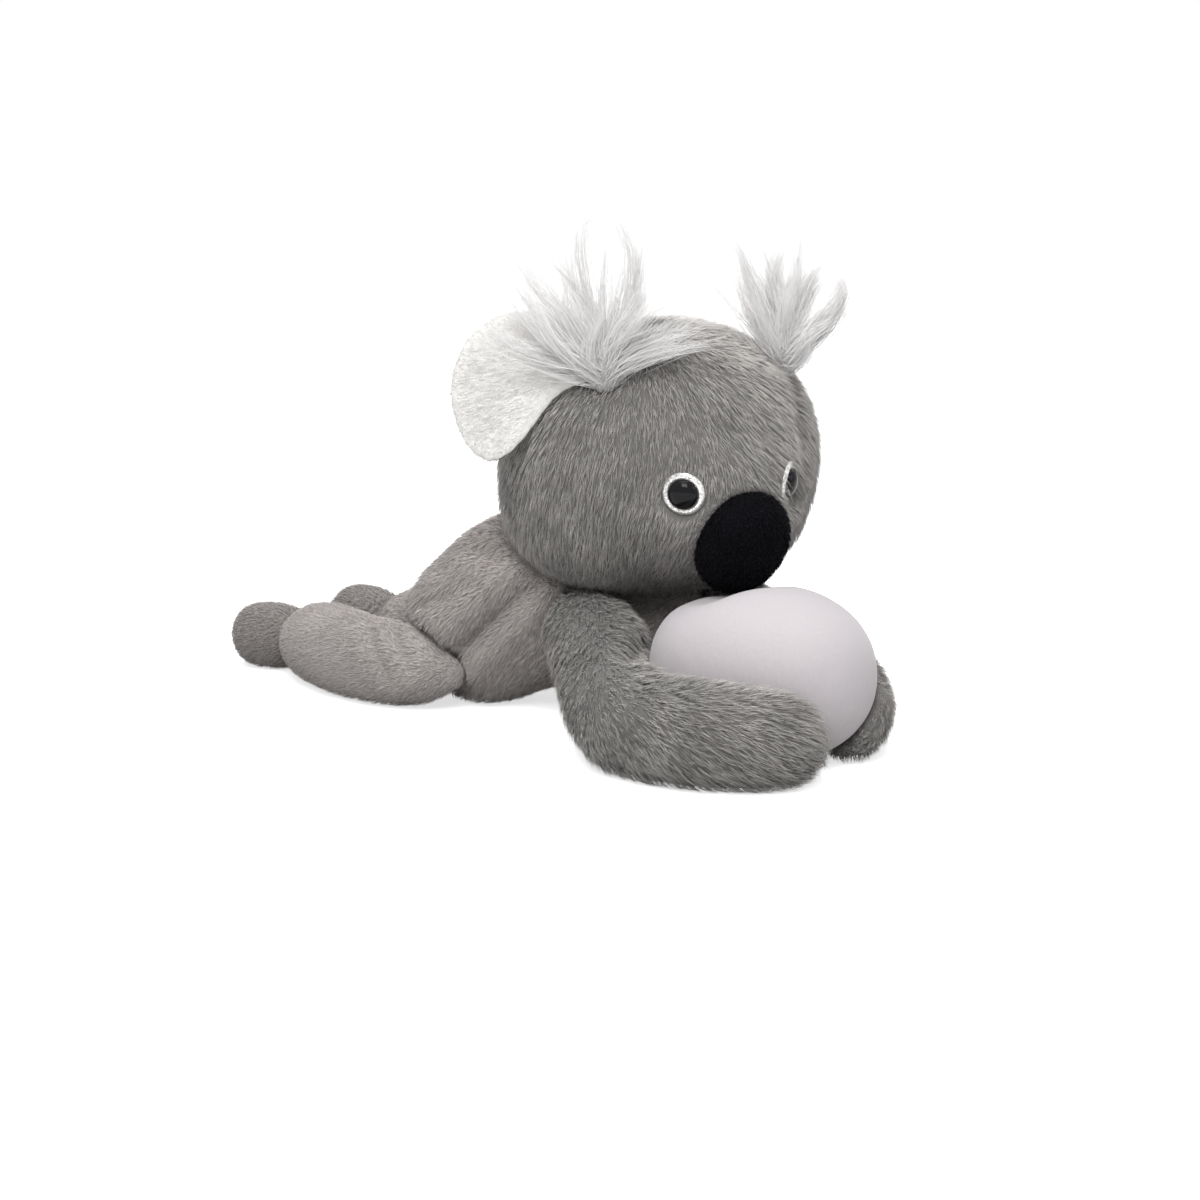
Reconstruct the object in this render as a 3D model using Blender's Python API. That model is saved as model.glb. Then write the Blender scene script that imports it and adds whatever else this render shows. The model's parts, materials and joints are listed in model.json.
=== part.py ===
"""A plush koala that lies on its front, head up, with its arms round a cushion.

Each stuffed part is a sewn skin of fur fabric round a filling, and the skin is open where it is sewn to
its neighbour. Lengths are in metres. The face looks along -Y, +Z is up and the koala's left is +X.
Places are measured from the point on the floor under the middle of the head. At the end the whole toy
moves so that the middle of its footprint is the origin.
"""
import math

import bmesh
import bpy
from mathutils import Matrix, Vector

# Cloth, clearances and finish of the meshes
FABRIC = 0.003
FIT_GAP = 0.0003
SWEPT_GAP = 0.0011
FILL_GAP = 0.0007
TORSO_FILL_GAP = 0.0016
FLAT_DEPTH = 0.0005
WELD = 0.00001
SMOOTH_BELOW = math.radians(40)
CUTTER_SEGMENTS = 16
ROD_SEGMENTS = 14
KNOT_SEGMENTS = 10
EAR_RINGS = 6

# Head: a skull, a broad jaw below it and a muzzle in front, blended together
HEAD_WIDTH = 0.152
HEAD_DEPTH = 0.126
HEAD_HEIGHT = 0.119
HEAD_LIFT = 0.126
JAW_WIDTH = 0.140
JAW_DEPTH = 0.100
JAW_HEIGHT = 0.072
JAW_DROP = 0.028
JAW_SETBACK = 0.006
MUZZLE_WIDTH = 0.094
MUZZLE_DEPTH = 0.086
MUZZLE_HEIGHT = 0.076
MUZZLE_REACH = 0.034
MUZZLE_DROP = 0.014
HEAD_NOD = math.radians(20)
HEAD_CORE_REACH = 0.008
HEAD_CORE_DROP = 0.012

# Nose: an upright oval pad that leans with the face
NOSE_WIDTH = 0.045
NOSE_HEIGHT = 0.051
NOSE_DEPTH = 0.032
NOSE_REACH = 0.071
NOSE_DROP = 0.033
NOSE_LEAN = math.radians(26)
NOSE_CLOTH = 0.002

# Eyes: a domed pupil on a shank, through a ring and the skin into a locking washer
EYE_SPACING = 0.058
EYE_DROP = 0.009
EYE_TURN = math.radians(46)
EYE_DIP = math.radians(9)
EYE_RING_RADIUS = 0.0100
EYE_RING_BORE = 0.0066
EYE_RING_THICKNESS = 0.0016
EYE_SEAT_DEPTH = 0.0012
EYE_SEAT_REACH = 0.020
PUPIL_RADIUS = 0.0071
PUPIL_RIM = 0.0007
PUPIL_BULGE = 0.0042
PUPIL_STEPS = 4
SHANK_RADIUS = 0.0024
SHANK_LENGTH = 0.0100
WASHER_RADIUS = 0.0065
WASHER_THICKNESS = 0.0014

# Ears: a white front panel and a grey back panel, gathered where they meet the head
EAR_LENGTH = 0.073
EAR_HEIGHT = 0.076
EAR_PANEL = 0.0045
EAR_CUP = 0.008
EAR_CLEARANCE = 0.0022
EAR_ROOT_SPREAD = 0.048
EAR_ROOT_REACH = 0.030
EAR_FLARE = math.radians(20)
EAR_SWEEP_RIGHT = math.radians(38)
EAR_SWEEP_LEFT = math.radians(24)
EAR_CENTRE_SHARES = (0.58, -0.10)
EAR_OUTLINE_SHARES = (
    (0.02, 0.02), (0.16, -0.05), (0.30, -0.15), (0.42, -0.37), (0.56, -0.56), (0.72, -0.59), (0.88, -0.44),
    (0.99, -0.21), (0.99, 0.03), (0.90, 0.23), (0.72, 0.37), (0.50, 0.40), (0.28, 0.34), (0.10, 0.22),
)

# Tufts: locks of long hair that spring from a gathered knot at the root of each ear
TUFT_KNOT = 0.0085
TUFT_LIFT = 0.0050
TUFT_RISE = 0.080
TUFT_TURN = math.radians(30)
TUFT_LOCK_RADIUS = 0.0060
TUFT_TIP_RADIUS = 0.0012
TUFT_FAN_SHARES = (
    (-0.62, 0.56, 0.02), (-0.42, 0.82, -0.07), (-0.15, 1.00, 0.03), (0.15, 0.90, -0.08), (0.43, 0.72, 0.01),
    (0.52, 0.46, -0.09),
)
TUFT_BEND_SHARES = (0.45, 0.62, 0.55)
TUFT_ROOT_SHARE = 0.05

# Torso: chest, back and rump, from front to back, the first two hanging from the head's height
CHEST_RADIUS = 0.031
CHEST_PLACE = (-0.003, 0.015)
CHEST_DROP = 0.080
BACK_RADIUS = 0.042
BACK_PLACE = (-0.038, 0.044)
BACK_DROP = 0.074
RUMP_RADIUS = 0.038
RUMP_PLACE = (-0.060, 0.062)

# Arms: radii and places from the shoulder to the paw, the raised stretch hanging from the head's height
SHOULDER_RADIUS = 0.0200
ARM_RADIUS = 0.0230
PAW_RADIUS = 0.0225
SHOULDER_DROP = 0.081
UPPER_ARM_DROP = 0.086
ELBOW_DROP = 0.096
RIGHT_SHOULDER = (-0.042, -0.004)
RIGHT_UPPER_ARM = (-0.050, -0.028)
RIGHT_ELBOW = (-0.060, -0.056)
RIGHT_FOREARM = (-0.069, -0.088)
RIGHT_WRIST = (-0.054, -0.124)
RIGHT_PAW = (-0.028, -0.141)
LEFT_SHOULDER = (0.034, 0.030)
LEFT_UPPER_ARM = (0.041, 0.006)
LEFT_ELBOW = (0.045, -0.026)
LEFT_FOREARM = (0.043, -0.062)
LEFT_WRIST = (0.036, -0.096)
LEFT_PAW = (0.024, -0.116)

# Legs: from the hip to the ankle, flat on the floor
HIP_RADIUS = 0.0190
CALF_RADIUS = 0.0205
ANKLE_RADIUS = 0.0180
RIGHT_HIP = (-0.094, 0.056)
RIGHT_KNEE = (-0.113, 0.092)
RIGHT_CALF = (-0.115, 0.130)
RIGHT_ANKLE = (-0.115, 0.150)
LEFT_HIP = (-0.036, 0.098)
LEFT_KNEE = (-0.046, 0.120)
LEFT_CALF = (-0.054, 0.142)
LEFT_ANKLE = (-0.058, 0.158)

# Feet: short rounded soles sewn to the ends of the legs
HEEL_RADIUS = 0.0165
SOLE_RADIUS = 0.0170
RIGHT_HEEL = (-0.119, 0.170)
RIGHT_TOE = (-0.126, 0.179)
LEFT_HEEL = (-0.062, 0.178)
LEFT_TOE = (-0.066, 0.193)

# Cushion: an oval pad that lies along the koala's reach
CUSHION_WIDTH = 0.084
CUSHION_LENGTH = 0.106
CUSHION_HEIGHT = 0.080
CUSHION_PLACE = (-0.006, -0.098)
CUSHION_TURN = math.radians(26)
CUSHION_SLOT_LENGTH = 0.036
CUSHION_SLOT_WIDTH = 0.005
CUSHION_SLOT_LIFT = 0.020

# Seams that fold: the neck axis, and how far each joint goes either way
NECK_PLACE = (-0.003, 0.014)
NECK_OPENING = 0.018
NECK_RANGE = (math.radians(-15), math.radians(15))
SHOULDER_RANGE = (0.0, math.radians(45))
HIP_RANGE = (math.radians(-5), math.radians(25))
ANKLE_RANGE = (math.radians(-20), math.radians(20))
EAR_RANGE = (0.0, math.radians(20))
RANGE_STEPS = 2
LIMB_OPENING_SHARE = 0.55

# How softly the lobes of a blended form run together, and how round a lobe is: half is a ball, less is squarer
BLEND_SHARE = 0.0714
ROUND_SHARE = 0.5
JAW_SHARE = 0.4
CUSHION_SHARE = 0.4545


class Lobe:
    """A rounded box or ball that makes up a blended form."""

    def __init__(self, centre, size, round_share=ROUND_SHARE, turn=None):
        self.centre = Vector(centre)
        self.half = Vector(size) / 2
        self.power = 1 / round_share
        self.inward = (turn or Matrix.Identity(3)).inverted()

    def level(self, point):
        """How far out a point is: 1 on the surface, less inside."""
        local = self.inward @ (point - self.centre)
        total = sum(abs(value / half) ** self.power for value, half in zip(local, self.half))
        return total ** (1 / self.power)


class BlendedForm:
    """A closed form that its lobes run together into, seen from a core inside them all."""

    def __init__(self, core, lobes):
        self.core = Vector(core)
        self.lobes = lobes

    def level(self, point):
        """How far out a point is: 1 on the surface, less inside."""
        total = sum(max(lobe.level(point), WELD) ** (-1 / BLEND_SHARE) for lobe in self.lobes)
        return total ** -BLEND_SHARE

    def surface(self, start, direction):
        """The point where a line from inside the form leaves it, by halving a span that holds it."""
        near = 0.0
        far = sum(2 * max(lobe.half) for lobe in self.lobes)
        while far - near > WELD:
            middle = (near + far) / 2
            if self.level(start + direction * middle) < 1:
                near = middle
            else:
                far = middle
        return start + direction * near

    def solid(self, name, inset, fineness):
        mesh = bmesh.new()
        bmesh.ops.create_icosphere(mesh, subdivisions=fineness, radius=1)
        for vertex in mesh.verts:
            direction = vertex.co.normalized()
            vertex.co = self.surface(self.core, direction) - direction * inset
        return make_object(name, mesh)


class Limb:
    """A stuffed tube along a smooth route, with a round end where it starts and where it stops."""

    def __init__(self, stations):
        self.points = [Vector(place) for place, _ in stations]
        self.radii = [radius for _, radius in stations]

    def along(self, share):
        """Place, direction and radius at a share of the way from the root to the tip."""
        last = len(self.points) - 1
        step = min(int(share * last), last - 1)
        rest = share * last - step
        around = [min(max(step + k, 0), last) for k in (-1, 0, 1, 2)]
        points = [self.points[index] for index in around]
        radius = curve_point([self.radii[index] for index in around], rest)
        return curve_point(points, rest), curve_slope(points, rest).normalized(), radius

    def ring(self, index, detail, inset):
        """Place, direction and radius of one ring of the mesh, the round ends included."""
        shaft = detail.rings - 2 * detail.cap_rings
        share = min(max((index - detail.cap_rings) / shaft, 0), 1)
        place, ahead, radius = self.along(share)
        radius -= inset
        end_turn = math.pi / 2 * min(index, detail.rings - index, detail.cap_rings) / detail.cap_rings
        outward = -1 if index < detail.cap_rings else 1
        return place + ahead * radius * math.cos(end_turn) * outward, ahead, radius * math.sin(end_turn)

    def solid(self, name, inset, detail):
        """The whole tube as one closed mesh, smaller or larger than the form by an inset."""
        mesh = bmesh.new()
        bmesh.ops.create_uvsphere(mesh, u_segments=detail.sides, v_segments=detail.rings, radius=1)
        for vertex in mesh.verts:
            index = round(math.acos(min(max(vertex.co.z, -1), 1)) * detail.rings / math.pi)
            around = math.atan2(vertex.co.y, vertex.co.x)
            place, ahead, radius = self.ring(index, detail, inset)
            side = ahead.cross(Vector((0, 0, 1))).normalized()
            above = side.cross(ahead)
            vertex.co = place + (side * math.cos(around) + above * math.sin(around)) * radius
        bmesh.ops.recalc_face_normals(mesh, faces=mesh.faces)
        return make_object(name, mesh)

    def opening(self, neighbour):
        """A rod out of the root towards a place in its neighbour, where the skin is left open."""
        root = self.points[0]
        radius = self.radii[0]
        frame = facing(root, neighbour - root)
        return rod("opening", radius * LIMB_OPENING_SHARE, (radius / 2, 2 * radius), frame)


class Detail:
    """How many sides and rings a limb's mesh has, the rings of one round end among them."""

    def __init__(self, sides, rings, cap_rings):
        self.sides = sides
        self.rings = rings
        self.cap_rings = cap_rings


class Body:
    """The pieces that move as one, under an empty on their joint's axis."""

    def __init__(self, name, pivot, parent=None):
        self.pivot = Vector(pivot)
        self.empty = bpy.data.objects.new(name, None)
        bpy.context.scene.collection.objects.link(self.empty)
        if parent:
            self.empty.parent = parent.empty
            self.empty.location = self.pivot - parent.pivot

    def add(self, piece, material):
        piece.data.transform(Matrix.Translation(-self.pivot))
        piece.parent = self.empty
        piece.data.materials.clear()
        piece.data.materials.append(material)
        piece.data.shade_smooth()
        piece.data.set_sharp_from_angle(angle=SMOOTH_BELOW)


def curve_point(points, share):
    """A point of the smooth curve between the middle two of four points."""
    before, start, end, after = points
    rise = end - before
    sag = before * 2 - start * 5 + end * 4 - after
    bend = (start - end) * 3 + after - before
    return start + (rise * share + sag * share ** 2 + bend * share ** 3) / 2


def curve_slope(points, share):
    """The direction of the same curve there."""
    before, start, end, after = points
    rise = end - before
    sag = before * 2 - start * 5 + end * 4 - after
    bend = (start - end) * 3 + after - before
    return rise + sag * 2 * share + bend * 3 * share ** 2


def make_object(name, mesh):
    data = bpy.data.meshes.new(name)
    mesh.to_mesh(data)
    mesh.free()
    piece = bpy.data.objects.new(name, data)
    bpy.context.scene.collection.objects.link(piece)
    return piece


def cut(piece, cutters):
    """Take the cutters out of a piece, one after another, and delete them."""
    for cutter in cutters:
        modifier = piece.modifiers.new("cut", "BOOLEAN")
        modifier.operation = "DIFFERENCE"
        modifier.object = cutter
    return bake(piece, cutters)


def bake(piece, helpers):
    """Keep a piece's shape as its modifiers leave it, and delete the helpers they used."""
    shaped = piece.evaluated_get(bpy.context.evaluated_depsgraph_get())
    whole = piece.data
    piece.data = bpy.data.meshes.new_from_object(shaped)
    piece.modifiers.clear()
    bpy.data.meshes.remove(whole)
    piece.data.name = piece.name
    for helper in helpers:
        bpy.data.objects.remove(helper)
    return piece


def join(piece, other):
    """Join a closed piece to another that it overlaps, and delete it."""
    modifier = piece.modifiers.new("join", "BOOLEAN")
    modifier.operation = "UNION"
    modifier.object = other
    return bake(piece, [other])


def keep_side(piece, place, direction):
    """Keep the side of a plane that a direction points to, and close the cut."""
    mesh = bmesh.new()
    mesh.from_mesh(piece.data)
    everything = mesh.verts[:] + mesh.edges[:] + mesh.faces[:]
    made = bmesh.ops.bisect_plane(mesh, geom=everything, plane_co=place, plane_no=direction, clear_inner=True)
    rim = [item for item in made["geom_cut"] if isinstance(item, bmesh.types.BMEdge)]
    if rim:
        bmesh.ops.edgeloop_fill(mesh, edges=rim)
        bmesh.ops.recalc_face_normals(mesh, faces=mesh.faces)
    mesh.to_mesh(piece.data)
    mesh.free()
    return piece


def turned(name, profile, frame, segments=ROD_SEGMENTS, ring=False):
    """A piece turned about its own Z axis: a rod from axis to axis, or a ring if the profile closes."""
    mesh = bmesh.new()
    corners = [mesh.verts.new((radius, 0, height)) for radius, height in profile]
    edges = [mesh.edges.new(pair) for pair in zip(corners, corners[1:])]
    if ring:
        edges.append(mesh.edges.new((corners[-1], corners[0])))
    bmesh.ops.spin(mesh, geom=corners + edges, cent=(0, 0, 0), axis=(0, 0, 1), angle=math.tau,
                   steps=segments, use_merge=True)
    bmesh.ops.remove_doubles(mesh, verts=mesh.verts, dist=WELD)
    bmesh.ops.recalc_face_normals(mesh, faces=mesh.faces)
    mesh.transform(frame)
    return make_object(name, mesh)


def rod(name, radius, span, frame):
    """A plain rod over a span of its axis."""
    bottom, top = span
    mesh = bmesh.new()
    place = frame @ Matrix.Translation((0, 0, (bottom + top) / 2))
    bmesh.ops.create_cone(mesh, cap_ends=True, segments=ROD_SEGMENTS, radius1=radius, radius2=radius,
                          depth=top - bottom, matrix=place)
    return make_object(name, mesh)


def block(name, size, frame):
    mesh = bmesh.new()
    bmesh.ops.create_cube(mesh, size=1, matrix=frame @ Matrix.Diagonal((*size, 1)))
    return make_object(name, mesh)


def ball(name, centre, radius, segments=CUTTER_SEGMENTS):
    mesh = bmesh.new()
    bmesh.ops.create_uvsphere(mesh, u_segments=segments, v_segments=segments // 2, radius=radius,
                              matrix=Matrix.Translation(centre))
    return make_object(name, mesh)


def facing(point, direction):
    """A frame at a point whose Z axis looks along a direction."""
    return Matrix.Translation(point) @ direction.to_track_quat("Z", "Y").to_matrix().to_4x4()


def turn_about(point, axis, angle):
    """A turn about an axis through a point."""
    return Matrix.Translation(point) @ Matrix.Rotation(angle, 4, axis) @ Matrix.Translation(-Vector(point))


def swept(shape, point, axis, turns):
    """The convex skin round a shape at every step of its joint's range, to cut its neighbour with."""
    mesh = bmesh.new()
    for step in range(RANGE_STEPS + 1):
        angle = turns[0] + (turns[1] - turns[0]) * step / RANGE_STEPS
        turn = turn_about(point, axis, angle)
        for vertex in shape.data.vertices:
            mesh.verts.new(turn @ vertex.co)
    bpy.data.objects.remove(shape)
    made = bmesh.ops.convex_hull(mesh, input=mesh.verts)
    left_over = made["geom_interior"] + made["geom_unused"]
    inner = {item for item in left_over if isinstance(item, bmesh.types.BMVert)}
    bmesh.ops.delete(mesh, geom=list(inner), context="VERTS")
    bmesh.ops.recalc_face_normals(mesh, faces=mesh.faces)
    return make_object("swept", mesh)


def resting(place, radius):
    """A place on the floor for a round form that is cut flat there."""
    return (*place, radius - FLAT_DEPTH)


def paint(name, colour, roughness, metallic=0.0):
    material = bpy.data.materials.new(name)
    material.use_nodes = True
    shader = material.node_tree.nodes["Principled BSDF"]
    shader.inputs["Base Color"].default_value = (*colour, 1)
    shader.inputs["Roughness"].default_value = roughness
    shader.inputs["Metallic"].default_value = metallic
    material.diffuse_color = (*colour, 1)
    return material


def head_form():
    middle = Vector((0, 0, HEAD_LIFT))
    nod = Matrix.Rotation(HEAD_NOD, 3, "X")
    skull = Lobe(middle, (HEAD_WIDTH, HEAD_DEPTH, HEAD_HEIGHT), turn=nod)
    jaw_middle = middle + Vector((0, JAW_SETBACK, -JAW_DROP))
    jaw = Lobe(jaw_middle, (JAW_WIDTH, JAW_DEPTH, JAW_HEIGHT), round_share=JAW_SHARE)
    muzzle_middle = middle + Vector((0, -MUZZLE_REACH, -MUZZLE_DROP))
    muzzle = Lobe(muzzle_middle, (MUZZLE_WIDTH, MUZZLE_DEPTH, MUZZLE_HEIGHT), turn=nod)
    core = middle + Vector((0, -HEAD_CORE_REACH, -HEAD_CORE_DROP))
    return BlendedForm(core, [skull, jaw, muzzle])


def nose_form():
    middle = (0, -NOSE_REACH, HEAD_LIFT - NOSE_DROP)
    size = (NOSE_WIDTH, NOSE_DEPTH, NOSE_HEIGHT)
    return BlendedForm(middle, [Lobe(middle, size, turn=Matrix.Rotation(NOSE_LEAN, 3, "X"))])


def cushion_form():
    middle = (*CUSHION_PLACE, CUSHION_HEIGHT / 2 - FLAT_DEPTH)
    size = (CUSHION_WIDTH, CUSHION_LENGTH, CUSHION_HEIGHT)
    turn = Matrix.Rotation(CUSHION_TURN, 3, "Z")
    return BlendedForm(middle, [Lobe(middle, size, round_share=CUSHION_SHARE, turn=turn)])


def torso_form():
    return Limb([
        ((*CHEST_PLACE, HEAD_LIFT - CHEST_DROP), CHEST_RADIUS),
        ((*BACK_PLACE, HEAD_LIFT - BACK_DROP), BACK_RADIUS),
        (resting(RUMP_PLACE, RUMP_RADIUS), RUMP_RADIUS),
    ])


def arm_form(shoulder, upper_arm, elbow, forearm, wrist, paw):
    upper_radius = (SHOULDER_RADIUS * 2 + ARM_RADIUS) / 3
    elbow_radius = (SHOULDER_RADIUS + ARM_RADIUS * 2) / 3
    return Limb([
        ((*shoulder, HEAD_LIFT - SHOULDER_DROP), SHOULDER_RADIUS),
        ((*upper_arm, HEAD_LIFT - UPPER_ARM_DROP), upper_radius),
        ((*elbow, HEAD_LIFT - ELBOW_DROP), elbow_radius),
        (resting(forearm, ARM_RADIUS), ARM_RADIUS),
        (resting(wrist, ARM_RADIUS), ARM_RADIUS),
        (resting(paw, PAW_RADIUS), PAW_RADIUS),
    ])


def leg_form(hip, knee, calf, ankle):
    return Limb([
        (resting(hip, HIP_RADIUS), HIP_RADIUS),
        (resting(knee, CALF_RADIUS), CALF_RADIUS),
        (resting(calf, CALF_RADIUS), CALF_RADIUS),
        (resting(ankle, ANKLE_RADIUS), ANKLE_RADIUS),
    ])


def foot_form(heel, toe):
    return Limb([(resting(heel, HEEL_RADIUS), HEEL_RADIUS), (resting(toe, SOLE_RADIUS), SOLE_RADIUS)])


TORSO_DETAIL = Detail(20, 17, 5)
ARM_DETAIL = Detail(16, 18, 4)
LEG_DETAIL = Detail(14, 13, 4)
FOOT_DETAIL = Detail(14, 9, 4)
LINING_DETAIL = Detail(12, 15, 3)
FOOT_LINING_DETAIL = Detail(10, 7, 3)
LOCK_DETAIL = Detail(4, 7, 2)
ROOT_DETAIL = Detail(14, 7, 3)
FORM_SPLIT_STEPS = 4
LINING_SPLIT_STEPS = 3
PAD_SPLIT_STEPS = 2
UPRIGHT = Vector((0, 0, 1))
ORIGIN = Vector((0, 0, 0))

HEAD = head_form()
NOSE = nose_form()
CUSHION = cushion_form()
TORSO = torso_form()
ARMS = {
    "right": arm_form(RIGHT_SHOULDER, RIGHT_UPPER_ARM, RIGHT_ELBOW, RIGHT_FOREARM, RIGHT_WRIST, RIGHT_PAW),
    "left": arm_form(LEFT_SHOULDER, LEFT_UPPER_ARM, LEFT_ELBOW, LEFT_FOREARM, LEFT_WRIST, LEFT_PAW),
}
LEGS = {
    "right": leg_form(RIGHT_HIP, RIGHT_KNEE, RIGHT_CALF, RIGHT_ANKLE),
    "left": leg_form(LEFT_HIP, LEFT_KNEE, LEFT_CALF, LEFT_ANKLE),
}
FEET = {"right": foot_form(RIGHT_HEEL, RIGHT_TOE), "left": foot_form(LEFT_HEEL, LEFT_TOE)}
SIGNS = {"right": -1, "left": 1}
NECK = Vector((*NECK_PLACE, 0))


def ear_root(side):
    """Where the ear is gathered: on the head, straight up from the spread and reach of the roots."""
    start = Vector((SIGNS[side] * EAR_ROOT_SPREAD, -EAR_ROOT_REACH, HEAD_LIFT))
    return HEAD.surface(start, UPRIGHT) + UPRIGHT * TUFT_LIFT


def ear_frame(side):
    """A frame at the ear's root: X runs along the ear, Y up its height and Z out of its front panel."""
    sign = SIGNS[side]
    sweep = EAR_SWEEP_RIGHT if side == "right" else EAR_SWEEP_LEFT
    along = Vector((sign * math.sin(sweep), math.cos(sweep), 0))
    front = Vector((sign * math.cos(sweep), -math.sin(sweep), 0))
    height = Matrix.Rotation(-sign * EAR_FLARE, 3, along) @ UPRIGHT
    outward = Matrix.Rotation(-sign * EAR_FLARE, 3, along) @ front
    turn = Matrix((along, height, outward)).transposed().to_4x4()
    return Matrix.Translation(ear_root(side)) @ turn


def eye_frame(side):
    """A frame on the head's surface whose Z axis is the way the eye looks."""
    sign = SIGNS[side]
    start = Vector((sign * EYE_SPACING / 2, 0, HEAD_LIFT - EYE_DROP))
    look = Vector((sign * math.sin(EYE_TURN), -math.cos(EYE_TURN), -math.sin(EYE_DIP))).normalized()
    return facing(HEAD.surface(start, Vector((0, -1, 0))), look)


def head_solid(name, inset, fineness=FORM_SPLIT_STEPS):
    """The head, with a dimple for the root of each ear and a flat seat for each eye."""
    cutters = []
    for side in SIGNS:
        cutters.append(ball("dimple", ear_root(side), TUFT_KNOT + FIT_GAP + inset))
        seat = (-EYE_SEAT_DEPTH - inset, EYE_SEAT_REACH)
        cutters.append(rod("seat", EYE_RING_RADIUS + FIT_GAP + inset, seat, eye_frame(side)))
    return cut(HEAD.solid(name, inset, fineness), cutters)


def swept_head(inset):
    """The sweep of the head, as fine as the head itself where the torso's outside must clear it."""
    steps = LINING_SPLIT_STEPS if inset else FORM_SPLIT_STEPS
    return swept(HEAD.solid("head", -SWEPT_GAP - inset, steps), NECK, UPRIGHT, NECK_RANGE)


def swept_root(form, axis, turns, inset):
    """The sweep of a limb's root: its first three stations, which are all that its neighbour meets."""
    root = Limb(list(zip(form.points, form.radii))[:3])
    return swept(root.solid("root", -SWEPT_GAP - inset, ROOT_DETAIL), form.points[0], axis, turns)


def torso_solid(name, inset, detail=TORSO_DETAIL):
    """The torso, hollowed where the head, the arms and the legs sit and turn, and flat under the rump."""
    cutters = [swept_head(inset)]
    for side, sign in SIGNS.items():
        cutters.append(swept_root(ARMS[side], UPRIGHT * sign, SHOULDER_RANGE, inset))
        cutters.append(swept_root(LEGS[side], UPRIGHT * -sign, HIP_RANGE, inset))
    piece = keep_side(TORSO.solid(name, inset, detail), (0, 0, inset), UPRIGHT)
    return cut(piece, cutters)


def cushion_solid(name, inset, fineness=FORM_SPLIT_STEPS):
    """The cushion, flat below, with a groove where the nose presses and turns."""
    piece = keep_side(CUSHION.solid(name, inset, fineness), (0, 0, inset), UPRIGHT)
    grow = SWEPT_GAP + inset
    bottom = Matrix.Rotation(NOSE_LEAN, 3, "X")
    profile = []
    for step in range(CUTTER_SEGMENTS):
        around = math.tau * step / CUTTER_SEGMENTS
        depth = (NOSE_DEPTH / 2 + grow) * math.cos(around)
        height = (NOSE_HEIGHT / 2 + grow) * math.sin(around)
        place = bottom @ Vector((0, -depth, height))
        profile.append((NECK.y + NOSE_REACH - place.y, HEAD_LIFT - NOSE_DROP + place.z))
    groove = turned("groove", profile, Matrix.Translation(NECK), 2 * CUTTER_SEGMENTS, ring=True)
    return cut(piece, [groove])


def arm_solid(side, name, inset, detail=ARM_DETAIL):
    """An arm, flat where it lies on the floor and pressed in where it holds the cushion."""
    piece = keep_side(ARMS[side].solid(name, inset, detail), (0, 0, inset), UPRIGHT)
    return cut(piece, [CUSHION.solid("cushion", -SWEPT_GAP - inset, LINING_SPLIT_STEPS)])


def leg_solid(side, name, inset, detail=LEG_DETAIL):
    """A leg, flat below, hollowed at its end where the foot turns."""
    piece = keep_side(LEGS[side].solid(name, inset, detail), (0, 0, inset), UPRIGHT)
    return cut(piece, [swept_root(FEET[side], UPRIGHT, ANKLE_RANGE, inset)])


def foot_solid(side, name, inset, detail=FOOT_DETAIL):
    return keep_side(FEET[side].solid(name, inset, detail), (0, 0, inset), UPRIGHT)


def sewn(body, names, solid, coarse, openings, materials, fill_gap=FILL_GAP):
    """A skin of cloth round a filling: the solid less its own inset hollow, open where it is sewn on."""
    skin = cut(solid(names[0], 0), [solid("hollow", FABRIC, coarse)] + openings)
    body.add(skin, materials[0])
    body.add(solid(names[1], FABRIC + fill_gap, coarse), materials[1])


def make_torso(body, colours):
    opening = rod("opening", NECK_OPENING, (HEAD_LIFT - CHEST_DROP, HEAD_LIFT), Matrix.Translation(NECK))
    sewn(body, ("torso_skin", "torso_fill"), torso_solid, LINING_DETAIL, [opening],
         (colours["warm_fur"], colours["wadding"]), TORSO_FILL_GAP)


def make_head(body, colours):
    opening = rod("opening", NECK_OPENING, (0, HEAD_LIFT), Matrix.Translation(NECK))
    shanks = []
    pockets = []
    washer_room = []
    for side in SIGNS:
        frame = eye_frame(side)
        deep = -SHANK_LENGTH - FIT_GAP
        shanks.append(rod("shank", SHANK_RADIUS + FIT_GAP, (deep, EYE_SEAT_DEPTH), frame))
        pockets.append(rod("pocket", WASHER_RADIUS + FIT_GAP, (deep, EYE_SEAT_DEPTH), frame))
        washer_room.append(rod("room", WASHER_RADIUS + FIT_GAP, (deep, -EYE_SEAT_DEPTH - FABRIC), frame))
    cutters = [head_solid("hollow", FABRIC, LINING_SPLIT_STEPS), opening] + shanks + washer_room
    skin = cut(head_solid("head_skin", 0), cutters)
    body.add(skin, colours["fur"])
    fill = cut(head_solid("head_fill", FABRIC + FILL_GAP, LINING_SPLIT_STEPS), pockets)
    body.add(fill, colours["wadding"])


def make_nose(body, colours):
    """The nose's cover is open behind, where the head's skin closes it."""
    cover = NOSE.solid("nose_cover", 0, LINING_SPLIT_STEPS)
    face = HEAD.solid("face", -FIT_GAP, FORM_SPLIT_STEPS)
    body.add(cut(cover, [face, NOSE.solid("hollow", NOSE_CLOTH, PAD_SPLIT_STEPS)]), colours["black_cloth"])
    pad = NOSE.solid("nose_fill", NOSE_CLOTH + FILL_GAP, PAD_SPLIT_STEPS)
    body.add(cut(pad, [HEAD.solid("face", -FIT_GAP, FORM_SPLIT_STEPS)]), colours["wadding"])


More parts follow.
